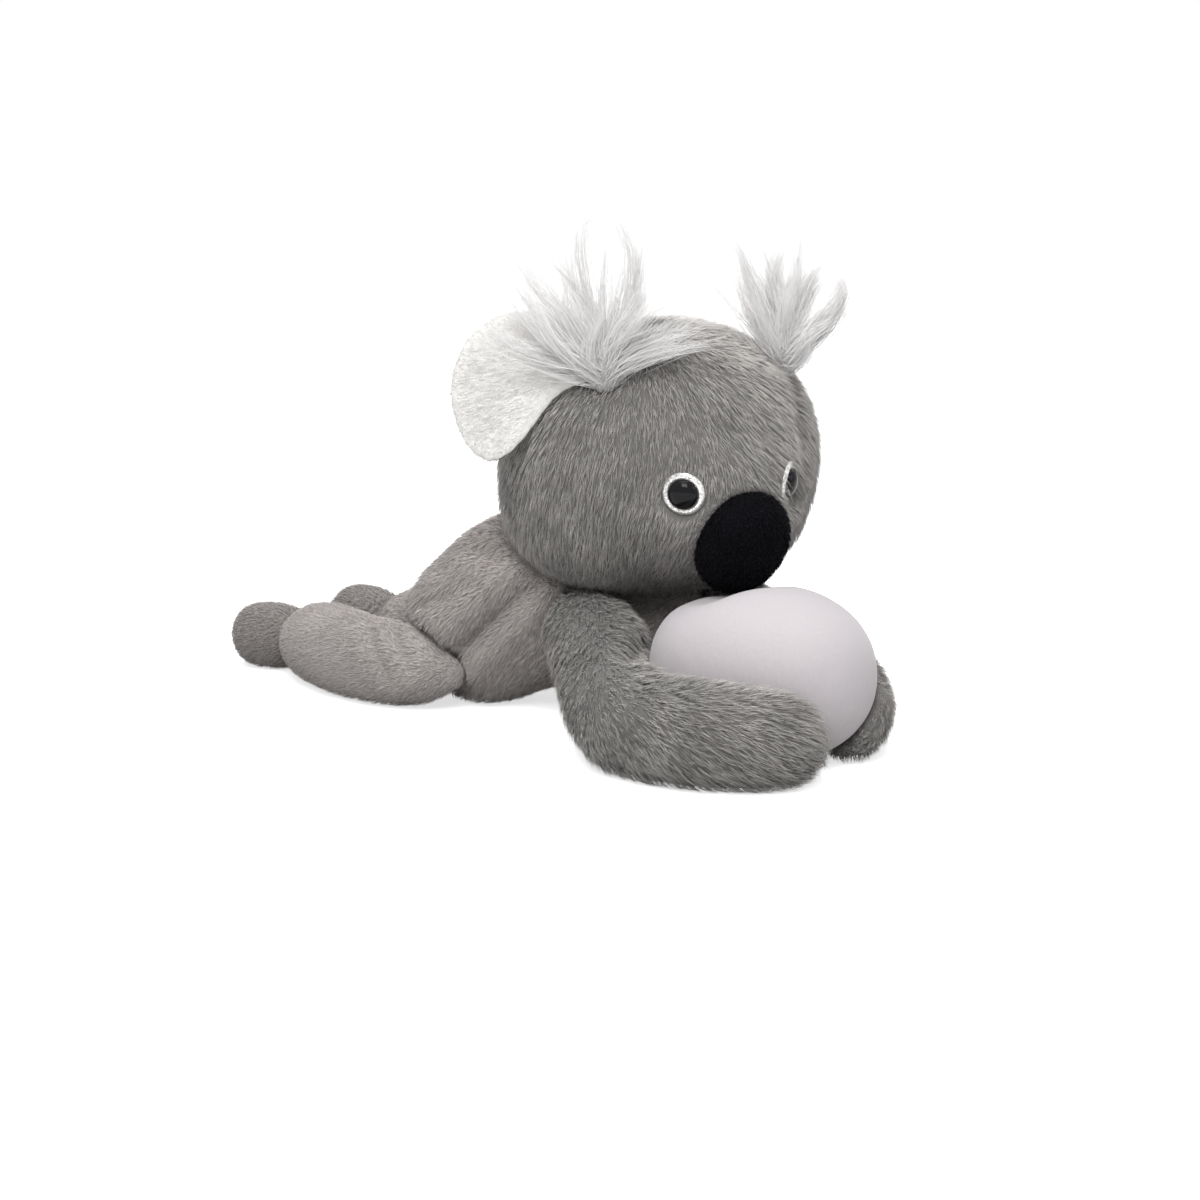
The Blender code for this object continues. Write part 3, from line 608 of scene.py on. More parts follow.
def strand_mesh(steps: int) -> tuple[Rows, Rows]:
    """Model one tapered strand of three sides, upright, with a length and a radius of 1.

    Args:
        steps: How many stretches it has along its length.

    Returns:
        Its vertices and its triangles.
    """
    mesh = bmesh.new()
    bmesh.ops.create_cone(mesh, cap_ends=True, segments=3, radius1=1, radius2=0, depth=1,
                          matrix=Matrix.Translation((0, 0, 0.5)))
    bmesh.ops.remove_doubles(mesh, verts=mesh.verts, dist=WELD)
    for step in range(1, steps):
        everything = mesh.verts[:] + mesh.edges[:] + mesh.faces[:]
        height = step / steps
        bmesh.ops.bisect_plane(mesh, geom=everything, plane_co=(0, 0, height), plane_no=(0, 0, 1))
    bmesh.ops.triangulate(mesh, faces=mesh.faces)
    bmesh.ops.recalc_face_normals(mesh, faces=mesh.faces)
    mesh.verts.index_update()
    corners = np.array([vertex.co[:] for vertex in mesh.verts])
    faces = np.array([[vertex.index for vertex in face.verts] for face in mesh.faces])
    mesh.free()
    return corners, faces


@dataclass
class Lay:
    """Curves for strands to follow, each with a root, a bend, a tip, a radius and a tone."""

    root: Rows
    bend: Rows
    tip: Rows
    radius: Rows
    tone: Rows

    def grow(self, name: str, steps: int, finish: Finish, body: str, nodes: Sequence[str] = ()) -> None:
        """Grow a strand along every line, in as many pieces as the face limit asks for.

        Args:
            name: The name of the pieces, before their number.
            steps: How many stretches a strand has.
            finish: The hair's finish.
            body: The body they ride on.
            nodes: The nodes that the first piece stands for.
        """
        corners, faces = strand_mesh(steps)
        pieces = max(1, math.ceil(len(self.root) * len(faces) / MOST_FACES))
        for number in range(pieces):
            part = Lay(*(rows[number::pieces] for rows in vars(self).values()))
            suffix = f"_{number + 1}" if pieces > 1 else ""
            piece = part.build(name + suffix, corners, faces)
            dress(piece, finish, body, () if number else nodes)
            LOG.info("%s: %d strands", piece.name, len(part.root))

    def build(self, name: str, corners: Rows, faces: Rows) -> Piece:
        """Copy the strand's mesh along each line.

        Args:
            name: The piece's name.
            corners: The strand's vertices.
            faces: The strand's triangles.

        Returns:
            The piece.
        """
        wide, high, along = (corners[:, axis][None, :, None] for axis in range(3))
        curve = ((1 - along) ** 2 * self.root[:, None] + 2 * along * (1 - along) * self.bend[:, None]
                 + along ** 2 * self.tip[:, None])
        slope = unit(self.tip - self.root)
        side = unit(np.cross(slope, np.where(np.abs(slope[:, 2:]) < STEEP, (0.0, 0.0, 1.0), (1.0, 0.0, 0.0))))
        above = np.cross(side, slope)
        places = curve + self.radius[:, None, None] * (wide * side[:, None] + high * above[:, None])
        places[:, :, 2] = np.maximum(places[:, :, 2], FLOOR_CLEARANCE)
        count = len(self.root)
        numbers = (faces[None] + np.arange(count)[:, None, None] * len(corners)).reshape(-1)
        data = bpy.data.meshes.new(name)
        data.vertices.add(count * len(corners))
        data.vertices.foreach_set("co", places.astype(np.float32).ravel())
        data.loops.add(len(numbers))
        data.loops.foreach_set("vertex_index", numbers.astype(np.int32))
        data.polygons.add(len(numbers) // 3)
        data.polygons.foreach_set("loop_start", np.arange(0, len(numbers), 3, dtype=np.int32))
        data.update(calc_edges=True)
        chart = data.uv_layers.new(name=STRAND_MAP)
        spots = np.stack([np.repeat(self.tone, len(corners)), np.tile(corners[:, 2], count)], axis=1)
        chart.data.foreach_set("uv", spots[numbers].astype(np.float32).ravel())
        data.shade_smooth()
        return add_object(name, data)


def vary(places: Rows, draw: Draw, seed: int, spread: tuple[float, ...]) -> Rows:
    """Values that differ from one place to the next, and from patch to patch."""
    middle, single, patch, reach = spread
    return middle + single * draw.normal(size=len(places)) + patch * drift(places, reach, seed)


# How far a neighbour is felt, what it leaves of a strand, and where the skin rests on the floor
ROOM_REACH = 1.2
ROOM_GAIN = 1.3
ROOM_LEAST = 0.35
PRESSED = 0.2
BARE_SHARE = 0.12
RESTING_HEIGHT = 0.0015
RESTING_TURN = -0.5

# A measure's middle, its spread from strand to strand and from patch to patch, and a patch's reach
LENGTHS = (1.0, 0.18, 0.12, 0.012)
LENGTH_LIMITS = (0.3, 1.5)
TONES = (0.5, 0.22, 0.2, 0.006)
RADIUS_SPREAD = 0.2
RADIUS_LIMITS = (0.5, 1.6)

# How deep strands are rooted, their shares below and above the bend, and how close clumps lie
ROOT_SHARE = 0.12
BEND_SHARE = 0.55
TIP_SHARE = 0.5
CLUMP_PITCH = 0.0011


@dataclass(frozen=True)
class Pile:
    """How a fur grows: how dense, long and thick, how many degrees it leans and falls, and how it clumps."""

    count: int
    length: float
    radius: float
    lean: float = 48
    fall: float = 72
    wander: float = 0.35
    clump: float = 0.003
    gather: float = 0.35
    steps: int = 2

    def sample(self, piece: Piece, draw: Draw) -> tuple[Rows, Rows]:
        """Scatter roots evenly over a mesh.

        Args:
            piece: The mesh.
            draw: The random draws.

        Returns:
            The roots and the directions out of the skin there.
        """
        data = piece.data
        data.calc_loop_triangles()
        corners = np.zeros(len(data.loop_triangles) * 3, np.int32)
        data.loop_triangles.foreach_get("vertices", corners)
        corners = corners.reshape(-1, 3)
        points = points_of(piece)
        ways = normals_of(piece)
        first, second, third = (points[corners[:, index]] for index in range(3))
        area = np.linalg.norm(np.cross(second - first, third - first), axis=1)
        chosen = corners[draw.choice(len(corners), size=self.count, p=area / area.sum())]
        shares = draw.dirichlet((1, 1, 1), size=self.count)[:, :, None]
        return (points[chosen] * shares).sum(axis=1), unit((ways[chosen] * shares).sum(axis=1))

    def room(self, places: Rows, ways: Rows, body: str, neighbours: Sequence[SoftForm]) -> Rows:
        """How much room a strand has at each root, from 0 where something always covers it to 1.

        Args:
            places: The roots.
            ways: The directions out of the skin.
            body: The body that the pile rides on.
            neighbours: What may press on it. Under another body it is only pressed short.

        Returns:
            A share for each root.
        """
        share = np.ones(len(places))
        reach = self.length * ROOM_REACH
        for other in neighbours:
            least = 0.0 if other.body == body else PRESSED
            for index, place in enumerate(places):
                near, normal, _, distance = other.tree.find_nearest(Vector(place), reach)
                if near is None:
                    continue
                inside = (Vector(place) - near).dot(normal) < 0
                share[index] = min(share[index], least if inside else max(least, distance / reach))
        share[(places[:, 2] < RESTING_HEIGHT) & (ways[:, 2] < RESTING_TURN)] = 0
        return share

    def cover(self, name: str, form: SoftForm, comb: Comb, neighbours: Sequence[SoftForm], finish: Finish,
              seed: int, bare: Sequence[tuple[Vector, float]] = (), painted_shading: Comb | None = None) -> None:
        """Cover a stuffed form with this pile.

        Args:
            name: The name of the pieces.
            form: What carries it.
            comb: The way the hair runs at each place.
            neighbours: What may press on it.
            finish: The hair's finish.
            seed: Which set of random draws.
            bare: Round places with no hair, each with its radius.
            painted_shading: Painted light and shade on the hair, as how much lighter or darker its tone is at
                each place.
        """
        draw = np.random.default_rng(seed)
        places, ways = self.sample(form.piece, draw)
        share = self.room(places, ways, form.body, neighbours)
        for centre, radius in bare:
            share[np.linalg.norm(places - np.array(centre), axis=1) < radius] = 0
        kept = share > BARE_SHARE
        places, ways, share = places[kept], ways[kept], np.clip(share[kept] * ROOM_GAIN, ROOM_LEAST, 1)
        count = len(places)
        run = comb(places) + draw.normal(scale=self.wander, size=(count, 3))
        run = unit(run - (run * ways).sum(axis=1, keepdims=True) * ways)
        length = self.length * share * vary(places, draw, seed + 1, LENGTHS)
        length = np.clip(length, *(self.length * limit for limit in LENGTH_LIMITS))[:, None]
        raised, laid = (ways * math.cos(turn) + run * math.sin(turn)
                        for turn in (math.radians(self.lean), math.radians(self.fall)))
        bend = places + raised * length * BEND_SHARE
        tip = bend + laid * length * TIP_SHARE + self.pull(places, draw) * self.gather
        tone = vary(places, draw, seed + 2, TONES)
        # Painted light and shade, where given, are added to each strand's tone
        tone = np.clip(tone + (painted_shading(places) if painted_shading else 0), 0, 1)
        radius = self.radius * (1 + RADIUS_SPREAD * draw.normal(size=count)).clip(*RADIUS_LIMITS)
        lay = Lay(places - ways * self.length * ROOT_SHARE, bend, tip, radius, tone)
        lay.grow(name, self.steps, finish, form.body)

    def pull(self, places: Rows, draw: Draw) -> Rows:
        """How far each root is from the middle of its clump.

        Args:
            places: The roots.
            draw: The random draws.

        Returns:
            The way from each root to that middle.
        """
        spread = max(2, int(len(places) * min(1.0, (CLUMP_PITCH / self.clump) ** 2)))
        centres = places[draw.choice(len(places), size=spread, replace=False)]
        tree = KDTree(len(centres))
        for index, centre in enumerate(centres):
            tree.insert(centre, index)
        tree.balance()
        nearest = np.array([tree.find(place)[1] for place in places])
        return centres[nearest] - places


@dataclass
class RouteComb:
    """Hair that runs along a limb, and hangs a little."""

    stations: Sequence[Tenths]
    drop: float
    reach: float = 0.015

    def __call__(self, places: Rows) -> Rows:
        """Follow the nearest stretches of the limb.

        Args:
            places: The roots.

        Returns:
            The way the hair runs at each.
        """
        points = np.array(self.stations) / TENTHS
        spans = np.diff(points, axis=0)
        middles = (points[1:] + points[:-1]) / 2
        away = np.linalg.norm(places[:, None] - middles[None], axis=2)
        weight = np.exp(-away / self.reach)
        run = unit((weight[:, :, None] * unit(spans)[None]).sum(axis=1))
        return run + np.array((0, 0, -self.drop))


@dataclass
class Face:
    """Hair that runs away from the nose and down from the crown, with painted light above the brow and
    painted shade on the jaw.
    """

    nose: Place
    crown: Place = (0.025, 0.015, 0.2)
    drop: float = 1.35
    nose_reach: float = 0.026
    nose_pull: float = 2.2
    crown_pull: float = 0.3
    order_from: float = 0.075
    order_over: float = 0.035
    order_rise: float = 1.3
    order_least: float = 0.6
    # Painted light above the brow and painted shade on the jaw: the heights where each starts, the width of
    # the change, and how much lighter and darker the tone goes
    light_from: float = 0.15
    dark_from: float = 0.092
    band: float = 0.03
    lighter: float = 0.25
    darker: float = 0.5

    def comb(self, places: Rows) -> Rows:
        """Run away from the nose near it and down elsewhere, in better order higher up.

        Args:
            places: The roots.

        Returns:
            The way the hair runs at each.
        """
        from_nose = places - np.array(self.nose)
        close = np.exp(-np.linalg.norm(from_nose, axis=1, keepdims=True) / self.nose_reach)
        from_crown = unit(places - np.array(self.crown)) * self.crown_pull
        order = ramp(places[:, 2:], self.order_from, self.order_over) * self.order_rise + self.order_least
        return (unit(from_nose) * close * self.nose_pull + from_crown + np.array((0, 0, -self.drop))) * order

    def shade(self, places: Rows) -> Rows:
        """Painted light above the brow and painted shade on the jaw, as a change of tone at each place."""
        light = ramp(places[:, 2], self.light_from, self.band)
        return self.lighter * light - self.darker * ramp(places[:, 2], self.dark_from, -self.band)


@dataclass
class RootComb:
    """Hair that runs away from one place, and hangs a little."""

    root: Place
    drop: float = 0.25

    def __call__(self, places: Rows) -> Rows:
        """Run away from the root."""
        return unit(places - np.array(self.root)) + np.array((0, 0, -self.drop))


def seat_of(node: str) -> Matrix:
    """Find the frame of a flat round CAD piece.

    Args:
        node: The piece's node.

    Returns:
        Its middle, with Z out of the head.
    """
    points = points_of(frame["nodes"][node])
    middle = points.mean(axis=0)
    _, _, ways = np.linalg.svd(points - middle)
    out = Vector(ways[2])
    low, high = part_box("head_fill")
    if out.dot(Vector(middle) - (low + high) / 2) < 0:
        out = -out
    return Matrix.Translation(middle) @ out.to_track_quat("Z", "Y").to_matrix().to_4x4()


def spin_up(name: str, profile: Sequence[Pair], seat: Matrix, closed: bool) -> Piece:
    """Turn a profile about its Z axis.

    Args:
        name: The piece's name.
        profile: Radii and heights.
        seat: Where it goes.
        closed: Whether the profile is a ring's.

    Returns:
        The piece.
    """
    mesh = bmesh.new()
    corners = [mesh.verts.new((radius, 0, height)) for radius, height in profile]
    edges = [mesh.edges.new(pair) for pair in zip(corners, corners[1:])]
    if closed:
        edges.append(mesh.edges.new((corners[-1], corners[0])))
    bmesh.ops.spin(mesh, geom=corners + edges, cent=(0, 0, 0), axis=(0, 0, 1), angle=math.tau,
                   steps=SPIN_STEPS, use_merge=True)
    bmesh.ops.remove_doubles(mesh, verts=mesh.verts, dist=WELD)
    bmesh.ops.recalc_face_normals(mesh, faces=mesh.faces)
    mesh.transform(seat)
    return make_piece(name, mesh)


@dataclass
class Eye:
    """A domed pupil in a ring of silver glitter, with its washer inside the head."""

    side: Side
    sink: float = 0.0
    radius: float = 0.0071
    bulge: float = 0.0045
    ring: float = 0.01
    bore: float = 0.0064
    thickness: float = 0.0017
    rise: float = 0.0012
    steps: int = 14

    def build(self) -> None:
        """Make the ring, the pupil and the washer's finish."""
        name = self.side + "_eye"
        seat = seat_of(name + "_ring") @ Matrix.Translation((0, 0, -self.sink))
        low = -self.thickness / 2
        half = (self.ring - self.bore) / 2
        middle = self.bore + half
        rim = [(middle + half * math.cos(turn), low + self.thickness * max(0.0, math.sin(turn)))
               for turn in np.linspace(0, math.pi, self.steps)]
        ring = spin_up(name + "_glitter_ring", rim, seat, True)
        dome = [(self.radius * math.cos(turn), low + self.rise + self.bulge * math.sin(turn))
                for turn in np.linspace(0, math.pi / 2, self.steps)]
        pupil = spin_up(name + "_dome", [(0, low), (self.radius, low)] + dome, seat, False)
        for piece, finish, node in ((ring, SPARKLE, "_ring"), (pupil, PUPIL, "_pupil")):
            dress(piece, finish, "head", (name + node,))
        washer = frame["nodes"][name + "_washer"]
        washer.data.materials.clear()
        washer.data.materials.append(WASHER.make())


# The main view's right, up and away, a row each
MAIN_VIEW = ((0.866, -0.5, 0.0), (0.104, 0.18, 0.978), (0.489, 0.847, -0.208))

# How the thin panels of an ear are stuffed
FLAT = {"voxel": 0.0, "relax": 3, "swell": 0.0003, "fill": 0.3}


@dataclass
class Lock:
    """One lock of a tuft: its tip, to the right, up and away in the main view, and how it curls."""

    tip: Tenths
    curl: float
    thickness: float


@dataclass
class Tuft:
    """The long white hair gathered at the root of an ear."""

    side: Side
    locks: tuple[Lock, ...]
    strands: int = 2800
    steps: int = 5
    radius: float = 0.00017
    girth: Pair = (0.7, 1.3)
    tones: float = 0.25
    knot: float = 0.0072
    spread: float = 0.0032
    wisps: int = 4
    stretch: Pair = (0.9, 1.14)
    stray: float = 0.07
    hook: float = 0.24
    ends: Pair = (3.2, 0.95)
    narrowing: float = 1.1
    frizz: float = 0.0008

    def build(self, root: Vector, seed: int) -> None:
        """Grow the locks from the knot.

        Args:
            root: The gathered root.
            seed: Which set of random draws.
        """
        draw = np.random.default_rng(seed)
        weights = np.array([lock.thickness for lock in self.locks])
        counts = (self.strands * weights / weights.sum()).astype(int)
        rows = []
        for lock, count in zip(self.locks, counts):
            reach = sum(step / TENTHS * np.array(way) for step, way in zip(lock.tip, MAIN_VIEW))
            for _ in range(self.wisps):
                rows.append(self.wisp(np.array(root), reach, lock.curl, count // self.wisps, draw))
        start, bend, tip = (np.concatenate(part) for part in zip(*rows))
        total = len(start)
        tone = np.clip(0.5 + self.tones * draw.normal(size=total), 0, 1)
        radius = self.radius * draw.uniform(*self.girth, total)
        name = self.side + "_ear"
        lay = Lay(start, bend, tip, radius, tone)
        lay.grow(name + "_tuft_hair", self.steps, TUFT_HAIR, name, (name + "_tuft",))

    def wisp(self, root: Rows, reach: Rows, curl: float, count: int,
             draw: Draw) -> tuple[Rows, Rows, Rows]:
        """Draw the hairs of one wisp, which follow its curved middle part of the way.

        Args:
            root: The gathered root.
            reach: From the root to the lock's tip.
            curl: How high the lock arches.
            count: How many hairs there are.
            draw: The random draws.

        Returns:
            The start, the bend and the tip of each hair.
        """
        length = np.linalg.norm(reach)
        goal = reach * draw.uniform(*self.stretch) + draw.normal(size=3) * length * self.stray
        hook = draw.normal(size=3) * length * self.hook
        bend = goal * 0.5 + hook + np.array((0, 0, 1.0)) * curl * length
        along = draw.beta(*self.ends, size=(count, 1))
        belly = draw.normal(size=(count, 3)) * self.spread
        start = root + unit(draw.normal(size=(count, 3))) * self.knot * draw.uniform(0, 1, (count, 1)) ** 0.5
        tip = root + 2 * along * (1 - along) * bend + along ** 2 * goal + belly * (self.narrowing - along)
        return start, root + along * bend + belly, tip + draw.normal(size=(count, 3)) * self.frizz


@dataclass
class Ear:
    """A white long-haired front and a grey back, with the tuft at the root."""

    side: Side
    tuft: Tuft
    front_pile: Pile = Pile(12000, 0.0068, 0.00015, 78, 88, 0.08, 0.003, 0.05)
    back_pile: Pile = Pile(4500, 0.0058, 0.00024)

    def build(self, seeds: tuple[int, int, int]) -> None:
        """Make both panels and their hair.

        Args:
            seeds: Which sets of random draws the front, the back and the tuft have.
        """
        name = self.side + "_ear"
        front_seed, back_seed, tuft_seed = seeds
        root = Vector(JOINT_PLACES[name])
        front = SoftForm(name + "_front_panel", name, (name + "_front",), EAR_GROUND, **FLAT)
        back = SoftForm(name + "_back_panel", name, (name + "_back",), HEAD_GROUND, **FLAT)
        for form in (front, back):
            form.wrap()
            form.finish_off()
        comb = RootComb(root)
        self.front_pile.cover(name + "_front_hair", front, comb, (back,), EAR_HAIR, front_seed)
        self.back_pile.cover(name + "_back_hair", back, comb, (front,), HEAD_HAIR, back_seed)
        self.tuft.build(root, tuft_seed)


@dataclass
class Nose:
    """An upright oval pad of black fleece."""

    size: Place = (0.045, 0.032, 0.051)
    place: Place = (0.025615, -0.094369, 0.093)
    lean: float = math.radians(26)
    pile: Pile = Pile(7500, 0.0018, 0.0002, 45, 70, 0.35, 0.003, 0.45)
    comb: Place = (0.1, 0.0, -1.0)

    def build(self) -> SoftForm:
        """Make the pad and its nap.

        Returns:
            The pad.
        """
        form = SoftForm("nose_pad", "head", ("nose_cover", "nose_fill"), FLEECE)
        mesh = bmesh.new()
        bmesh.ops.create_icosphere(mesh, subdivisions=4, radius=0.5)
        turn = Matrix.Translation(self.place) @ Matrix.Rotation(self.lean, 4, "X")
        mesh.transform(turn @ Matrix.Diagonal((*self.size, 1)))
        form.piece = make_piece(form.name, mesh)
        form.finish_off()

        def comb(places: Rows) -> Rows:
            """Downwards everywhere."""
            return np.tile(self.comb, (len(places), 1))

        self.pile.cover("nose_nap", form, comb, (), NOSE_HAIR, 61)
        return form


JOINT_PLACES = {joint["child"]: joint["pos_m"] for joint in frame["joints"]}
GREY_PILE = Pile(44000, 0.0076, 0.00021, 60, 80, 0.24, 0.0032, 0.45)
ARM_PILE = Pile(18000, 0.0074, 0.00022, 58, 79, 0.15, 0.0032, 0.45)
TORSO_PILE = Pile(26000, 0.0052, 0.00025, 56, 79, 0.3, 0.004, 0.3)
LEG_PILE = Pile(14000, 0.0038, 0.00021, 62, 82, 0.16, 0.004, 0.15)
FOOT_PILE = Pile(5500, 0.0034, 0.00022, 60, 80, 0.2, 0.003, 0.15)

NEAR_LOCKS = tuple(Lock(*row) for row in (
    ((600, 170, -120), 0.1, 0.8), ((540, 360, -40), 0.12, 0.5), ((440, 480, 40), 0.14, 0.4),
    ((300, 380, 0), 0.22, 1.2), ((160, 700, 40), 0.3, 1.3), ((10, 740, -40), 0.1, 1.4),
    ((-130, 780, 60), 0.0, 0.5), ((-370, 640, 0), 0.0, 1.5), ((-500, 560, 40), 0.02, 1.4),
    ((-520, 360, -40), 0.08, 1.3), ((-240, 430, -100), 0.05, 1.6), ((360, 200, -140), 0.08, 1.0),
    ((-760, 240, 60), 0.05, 0.3), ((-400, 140, -120), 0.1, 1.5), ((100, 340, -160), 0.05, 1.4),
))
FAR_LOCKS = tuple(Lock(*row) for row in (
    ((-360, 460, 0), 0.1, 0.25), ((-250, 570, 60), 0.15, 0.6), ((-160, 670, -40), 0.05, 1.1),
    ((10, 630, 20), 0.02, 1.5), ((130, 480, -60), 0.02, 1.6), ((230, 440, 40), 0.05, 1.3),
    ((320, 180, -20), 0.15, 1.0), ((100, 200, -100), 0.02, 1.2), ((-80, 400, -80), 0.05, 1.4),
))
ROUTES = {
    "right_arm": ((-160, -270, 450), (-340, -790, 300), (-430, -1110, 230), (-280, -1470, 230),
                  (-20, -1640, 220)),
    "left_arm": ((600, 70, 450), (710, -490, 300), (690, -850, 230), (620, -1190, 230), (500, -1390, 220)),
    "right_leg": ((-680, 330, 190), (-870, 690, 200), (-890, 1270, 180)),
    "left_leg": ((-100, 750, 190), (-200, 970, 200), (-320, 1350, 180)),
    "right_foot": ((-930, 1470, 160), (-1000, 1560, 170)),
    "left_foot": ((-360, 1550, 160), (-400, 1700, 170)),
    "torso": ((230, -80, 600), (-120, 210, 600), (-340, 390, 400), (-500, 550, 100)),
}
FOLDS = {
    "torso": (
        Crease(((-350, -150, 690), (-407, -81, 615), (-491, -18, 516), (-564, 66, 403), (-640, 175, 270)),
               0.005, 0.006),
        Crease(((-690, 380, 500), (-628, 225, 563), (-564, 142, 648)), 0.0045, 0.0022),
        Crease(((-483, 214, 782), (-450, 55, 748)), 0.0045, 0.0018),
    ),
    "head": (
        Crease(((746, -594, 1544), (709, -707, 1411), (703, -743, 1300), (683, -776, 1233)), 0.005, 0.003),
    ),
    "cushion": (Crease(((40, -1035, 770), (220, -1050, 780)), 0.014, 0.0068, 0.0),),
    "left_leg": (
        Taper((-340, 1450, 170), (140, -480, 0), 0.032, 0.3),
        Taper((-60, 640, 190), (-140, 330, 0), 0.036, 0.36),
    ),
    "right_leg": (
        Taper((-915, 1380, 170), (45, -690, 0), 0.034, 0.3),
        Taper((-620, 220, 190), (-250, 470, 0), 0.044, 0.42),
        Crease(((-800, 470, 370), (-828, 360, 346), (-848, 239, 217)), 0.0035, 0.0026),
        Crease(((-891, 534, 378), (-928, 416, 297), (-908, 332, 185)), 0.0035, 0.0022),
    ),
    "right_arm": (Crease(((-120, -730, 480), (-250, -880, 490), (-384, -1018, 466)), 0.0055, 0.003),),
}


@dataclass
class Koala:
    """The whole toy: stuffed skins first, then the fur that grows on them."""

    forms: dict[str, SoftForm] = field(default_factory=dict)

    def stuff(self) -> None:
        """Make every stuffed form."""
        grounds = {"torso": BODY_GROUND, "head": HEAD_GROUND}
        for side in Side:
            for limb, ground in (("arm", HEAD_GROUND), ("leg", BODY_GROUND), ("foot", FOOT_GROUND)):
                grounds[f"{side}_{limb}"] = ground
        for name, ground in grounds.items():
            nodes = (name + "_skin", name + "_fill")
            self.forms[name] = SoftForm(name + "_plush", name, nodes, ground, creases=FOLDS.get(name, ()))
        self.forms["head"].seats = tuple(seat_of(side + "_eye_ring") for side in Side)
        self.forms["cushion"] = SoftForm(
            "cushion_plump", "torso", ("cushion_cover", "cushion_fill"), PLUSH,
            voxel=0.0032, swell=0.0, cap=0.0008, fill=0.8, creases=FOLDS["cushion"])
        for form in self.forms.values():
            form.wrap()
        self.swell()
        for form in self.forms.values():
            form.finish_off()

    def swell(self) -> None:
        """Swell all forms in one run of the cloth."""
        scene = bpy.context.scene
        for form in self.forms.values():
            form.start_swelling()
        for step in range(1, SWELL_FRAMES + 1):
            scene.frame_set(step)
        for form in self.forms.values():
            form.stop_swelling()
        scene.frame_set(1)

    def neighbours(self, *names: str) -> list[SoftForm]:
        """Some of the stuffed forms."""
        return [self.forms[name] for name in names]

    def cover(self) -> None:
        """Grow the fur of every stuffed skin."""
        eyes = [(seat_of(side + "_eye_ring").translation, radius) for side, radius in EYE_BARE.items()]
        nose = Nose()
        pad = nose.build()
        beside_head = [*self.neighbours("torso", "right_arm", "left_arm", "cushion"), pad]
        face = Face(nose.place)
        # The head's fur gets painted light above the brow and painted shade on the jaw
        GREY_PILE.cover("head_fur", self.forms["head"], face.comb, beside_head, HEAD_HAIR, 11, eyes,
                        face.shade)
        TORSO_PILE.cover("torso_fur", self.forms["torso"], RouteComb(ROUTES["torso"], 0.5),
                         self.neighbours("head", "right_arm", "left_arm", "right_leg", "left_leg"),
                         BODY_HAIR, 21)
        for number, side in enumerate(Side):
            for limb, pile, drop, beside, finish, seed in (
                ("arm", ARM_PILE, 0.35, ("torso", "head", "cushion"), ARM_HAIR, 31),
                ("leg", LEG_PILE, 0.2, ("torso", side + "_foot"), BODY_HAIR, 41),
                ("foot", FOOT_PILE, 0.2, (side + "_leg",), FOOT_HAIR, 51),
            ):
                name = f"{side}_{limb}"
                pile.cover(name + "_fur", self.forms[name], RouteComb(ROUTES[name], drop),
                           self.neighbours(*beside), finish, seed + number)

    def build(self) -> None:
        """Make the whole toy."""
        self.stuff()
        self.cover()
        for side in Side:
            Eye(side, EYE_SINK[side]).build()
        Ear(Side.RIGHT, Tuft(Side.RIGHT, NEAR_LOCKS)).build((101, 106, 110))
        Ear(Side.LEFT, Tuft(Side.LEFT, FAR_LOCKS)).build((131, 136, 140))


# Each lamp's name, place, size in metres and power in watts
LAMPS = (
    ("key_lamp", (-0.9, -1.2, 1.7), 1.2, 35.0),
    ("fill_lamp", (1.5, -1.4, 1.2), 0.45, 4.0),
    ("top_lamp", (0.0, 0.3, 2.0), 1.4, 18.0),
)


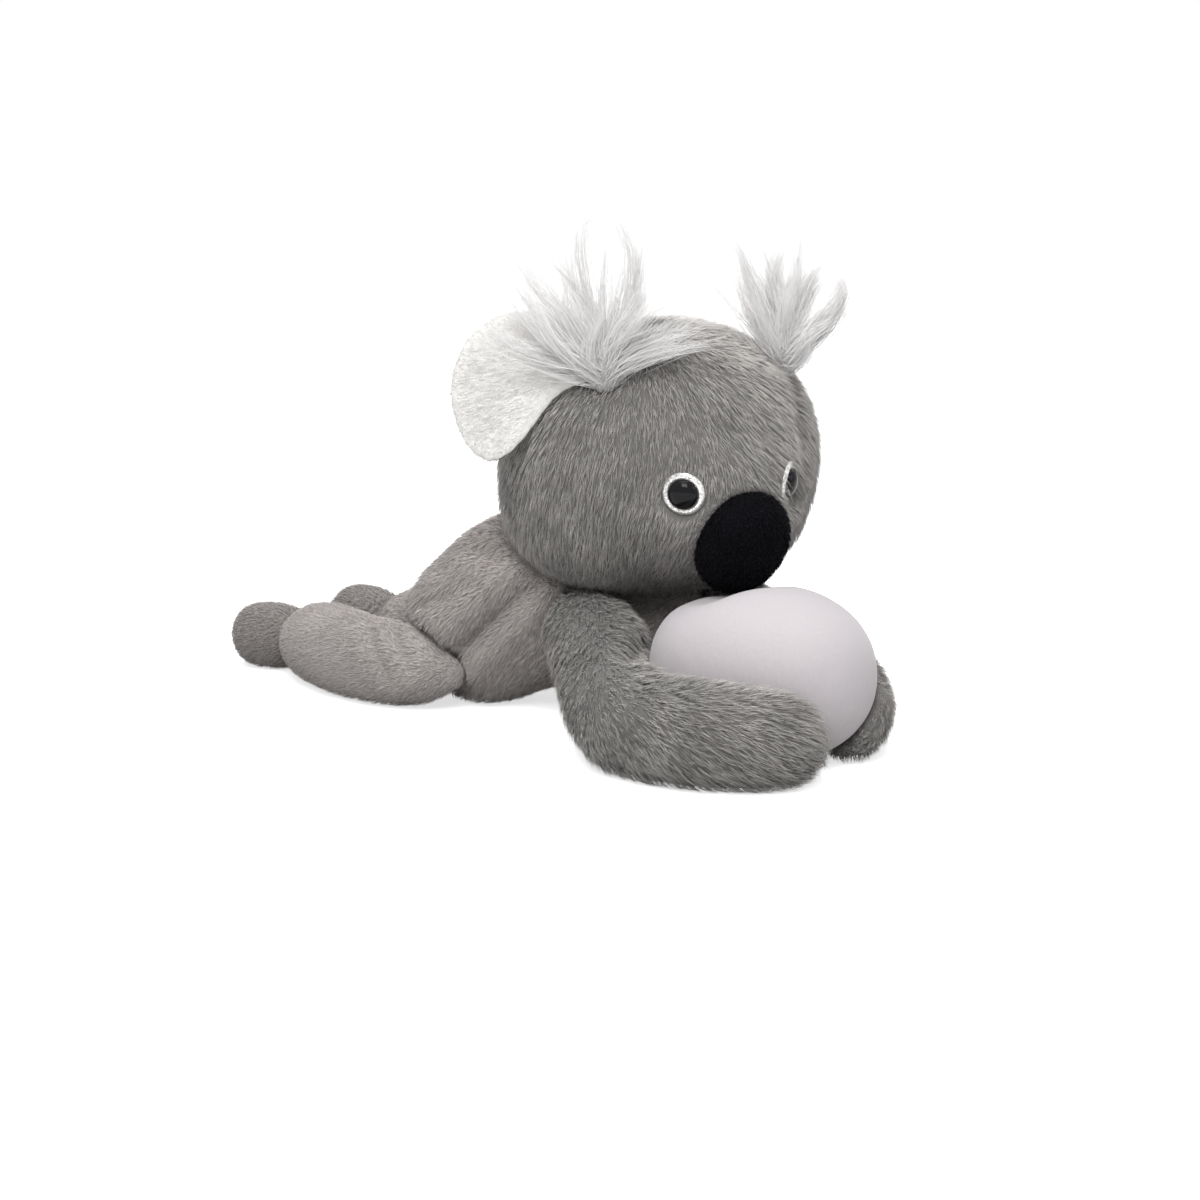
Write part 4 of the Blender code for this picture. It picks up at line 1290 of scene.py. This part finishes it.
@dataclass
class Studio:
    """The camera, the pale floor and the soft lamps."""

    azimuth: float = math.radians(-30)
    elevation: float = math.radians(12)
    distance: float = 1.4
    scale: float = 2130.0
    picture: float = 1200.0
    aim: Pair = (661.0, 455.0)
    middle: Place = (0.025615, -0.023369, 0.123)
    sensor: float = 36.0
    floor_size: float = 12.0
    floor_lit: Colour = (0.55, 0.55, 0.55)
    floor_seen: Colour = (0.95, 0.95, 0.95)
    floor_glow: float = 0.67
    surround: float = 0.35

    def set_camera(self) -> None:
        """Stand the camera where the picture was taken from."""
        turned, level = self.azimuth, math.cos(self.elevation)
        right = Vector((math.cos(turned), math.sin(turned), 0))
        back = Vector((math.sin(turned) * level, -math.cos(turned) * level, math.sin(self.elevation)))
        up = back.cross(right)
        across = (self.aim[0] - self.picture / 2) / self.scale
        above = (self.picture / 2 - self.aim[1]) / self.scale
        data = bpy.data.cameras.new("camera")
        data.sensor_width = self.sensor
        data.lens = self.sensor * self.scale * self.distance / self.picture
        camera = add_object("camera", data)
        place = Vector(self.middle) - right * across - up * above + back * self.distance
        camera.matrix_world = Matrix.Translation(place) @ Matrix((right, up, back)).transposed().to_4x4()
        bpy.context.scene.camera = camera

    def lay_floor(self) -> None:
        """Lay a floor that shows white and still takes the toy's shadow."""
        mesh = bmesh.new()
        bmesh.ops.create_grid(mesh, x_segments=1, y_segments=1, size=self.floor_size / 2)
        floor = make_piece("floor", mesh)
        graph = Graph(bpy.data.materials.new("floor_paper"))
        seen = graph.seen()
        graph.feed(graph.shader, {
            "Base Color": graph.mix(seen, self.floor_lit, self.floor_seen),
            "Roughness": 1.0,
            "Specular IOR Level": 0.0,
            "Emission Color": (1, 1, 1, 1),
            "Emission Strength": graph.calc("MULTIPLY", seen, self.floor_glow),
        })
        floor.data.materials.append(graph.holder)

    def light(self) -> None:
        """Hang the lamps and set the plain white surround."""
        for name, place, size, power in LAMPS:
            data = bpy.data.lights.new(name, "AREA")
            data.size = size
            data.energy = power
            turn = Vector(place).to_track_quat("Z", "Y").to_matrix().to_4x4()
            add_object(name, data).matrix_world = Matrix.Translation(place) @ turn
        graph = Graph(bpy.data.worlds.new("surround"))
        strength = graph.calc("MULTIPLY_ADD", graph.seen(), 1 - self.surround, self.surround)
        graph.feed(graph.shader, {"Color": (1, 1, 1, 1), "Strength": strength})
        bpy.context.scene.world = graph.holder
        bpy.context.scene.view_settings.view_transform = "Standard"

    def build(self) -> None:
        """Set up the camera, the floor and the lamps."""
        self.set_camera()
        self.lay_floor()
        self.light()


def main() -> None:
    """Build the studio and the toy, logging each stuffed form's faces and each hair piece's strands."""
    logging.basicConfig(level=logging.INFO, format="%(message)s")
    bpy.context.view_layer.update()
    Studio().build()
    Koala().build()


if __name__ == "__main__":
    main()
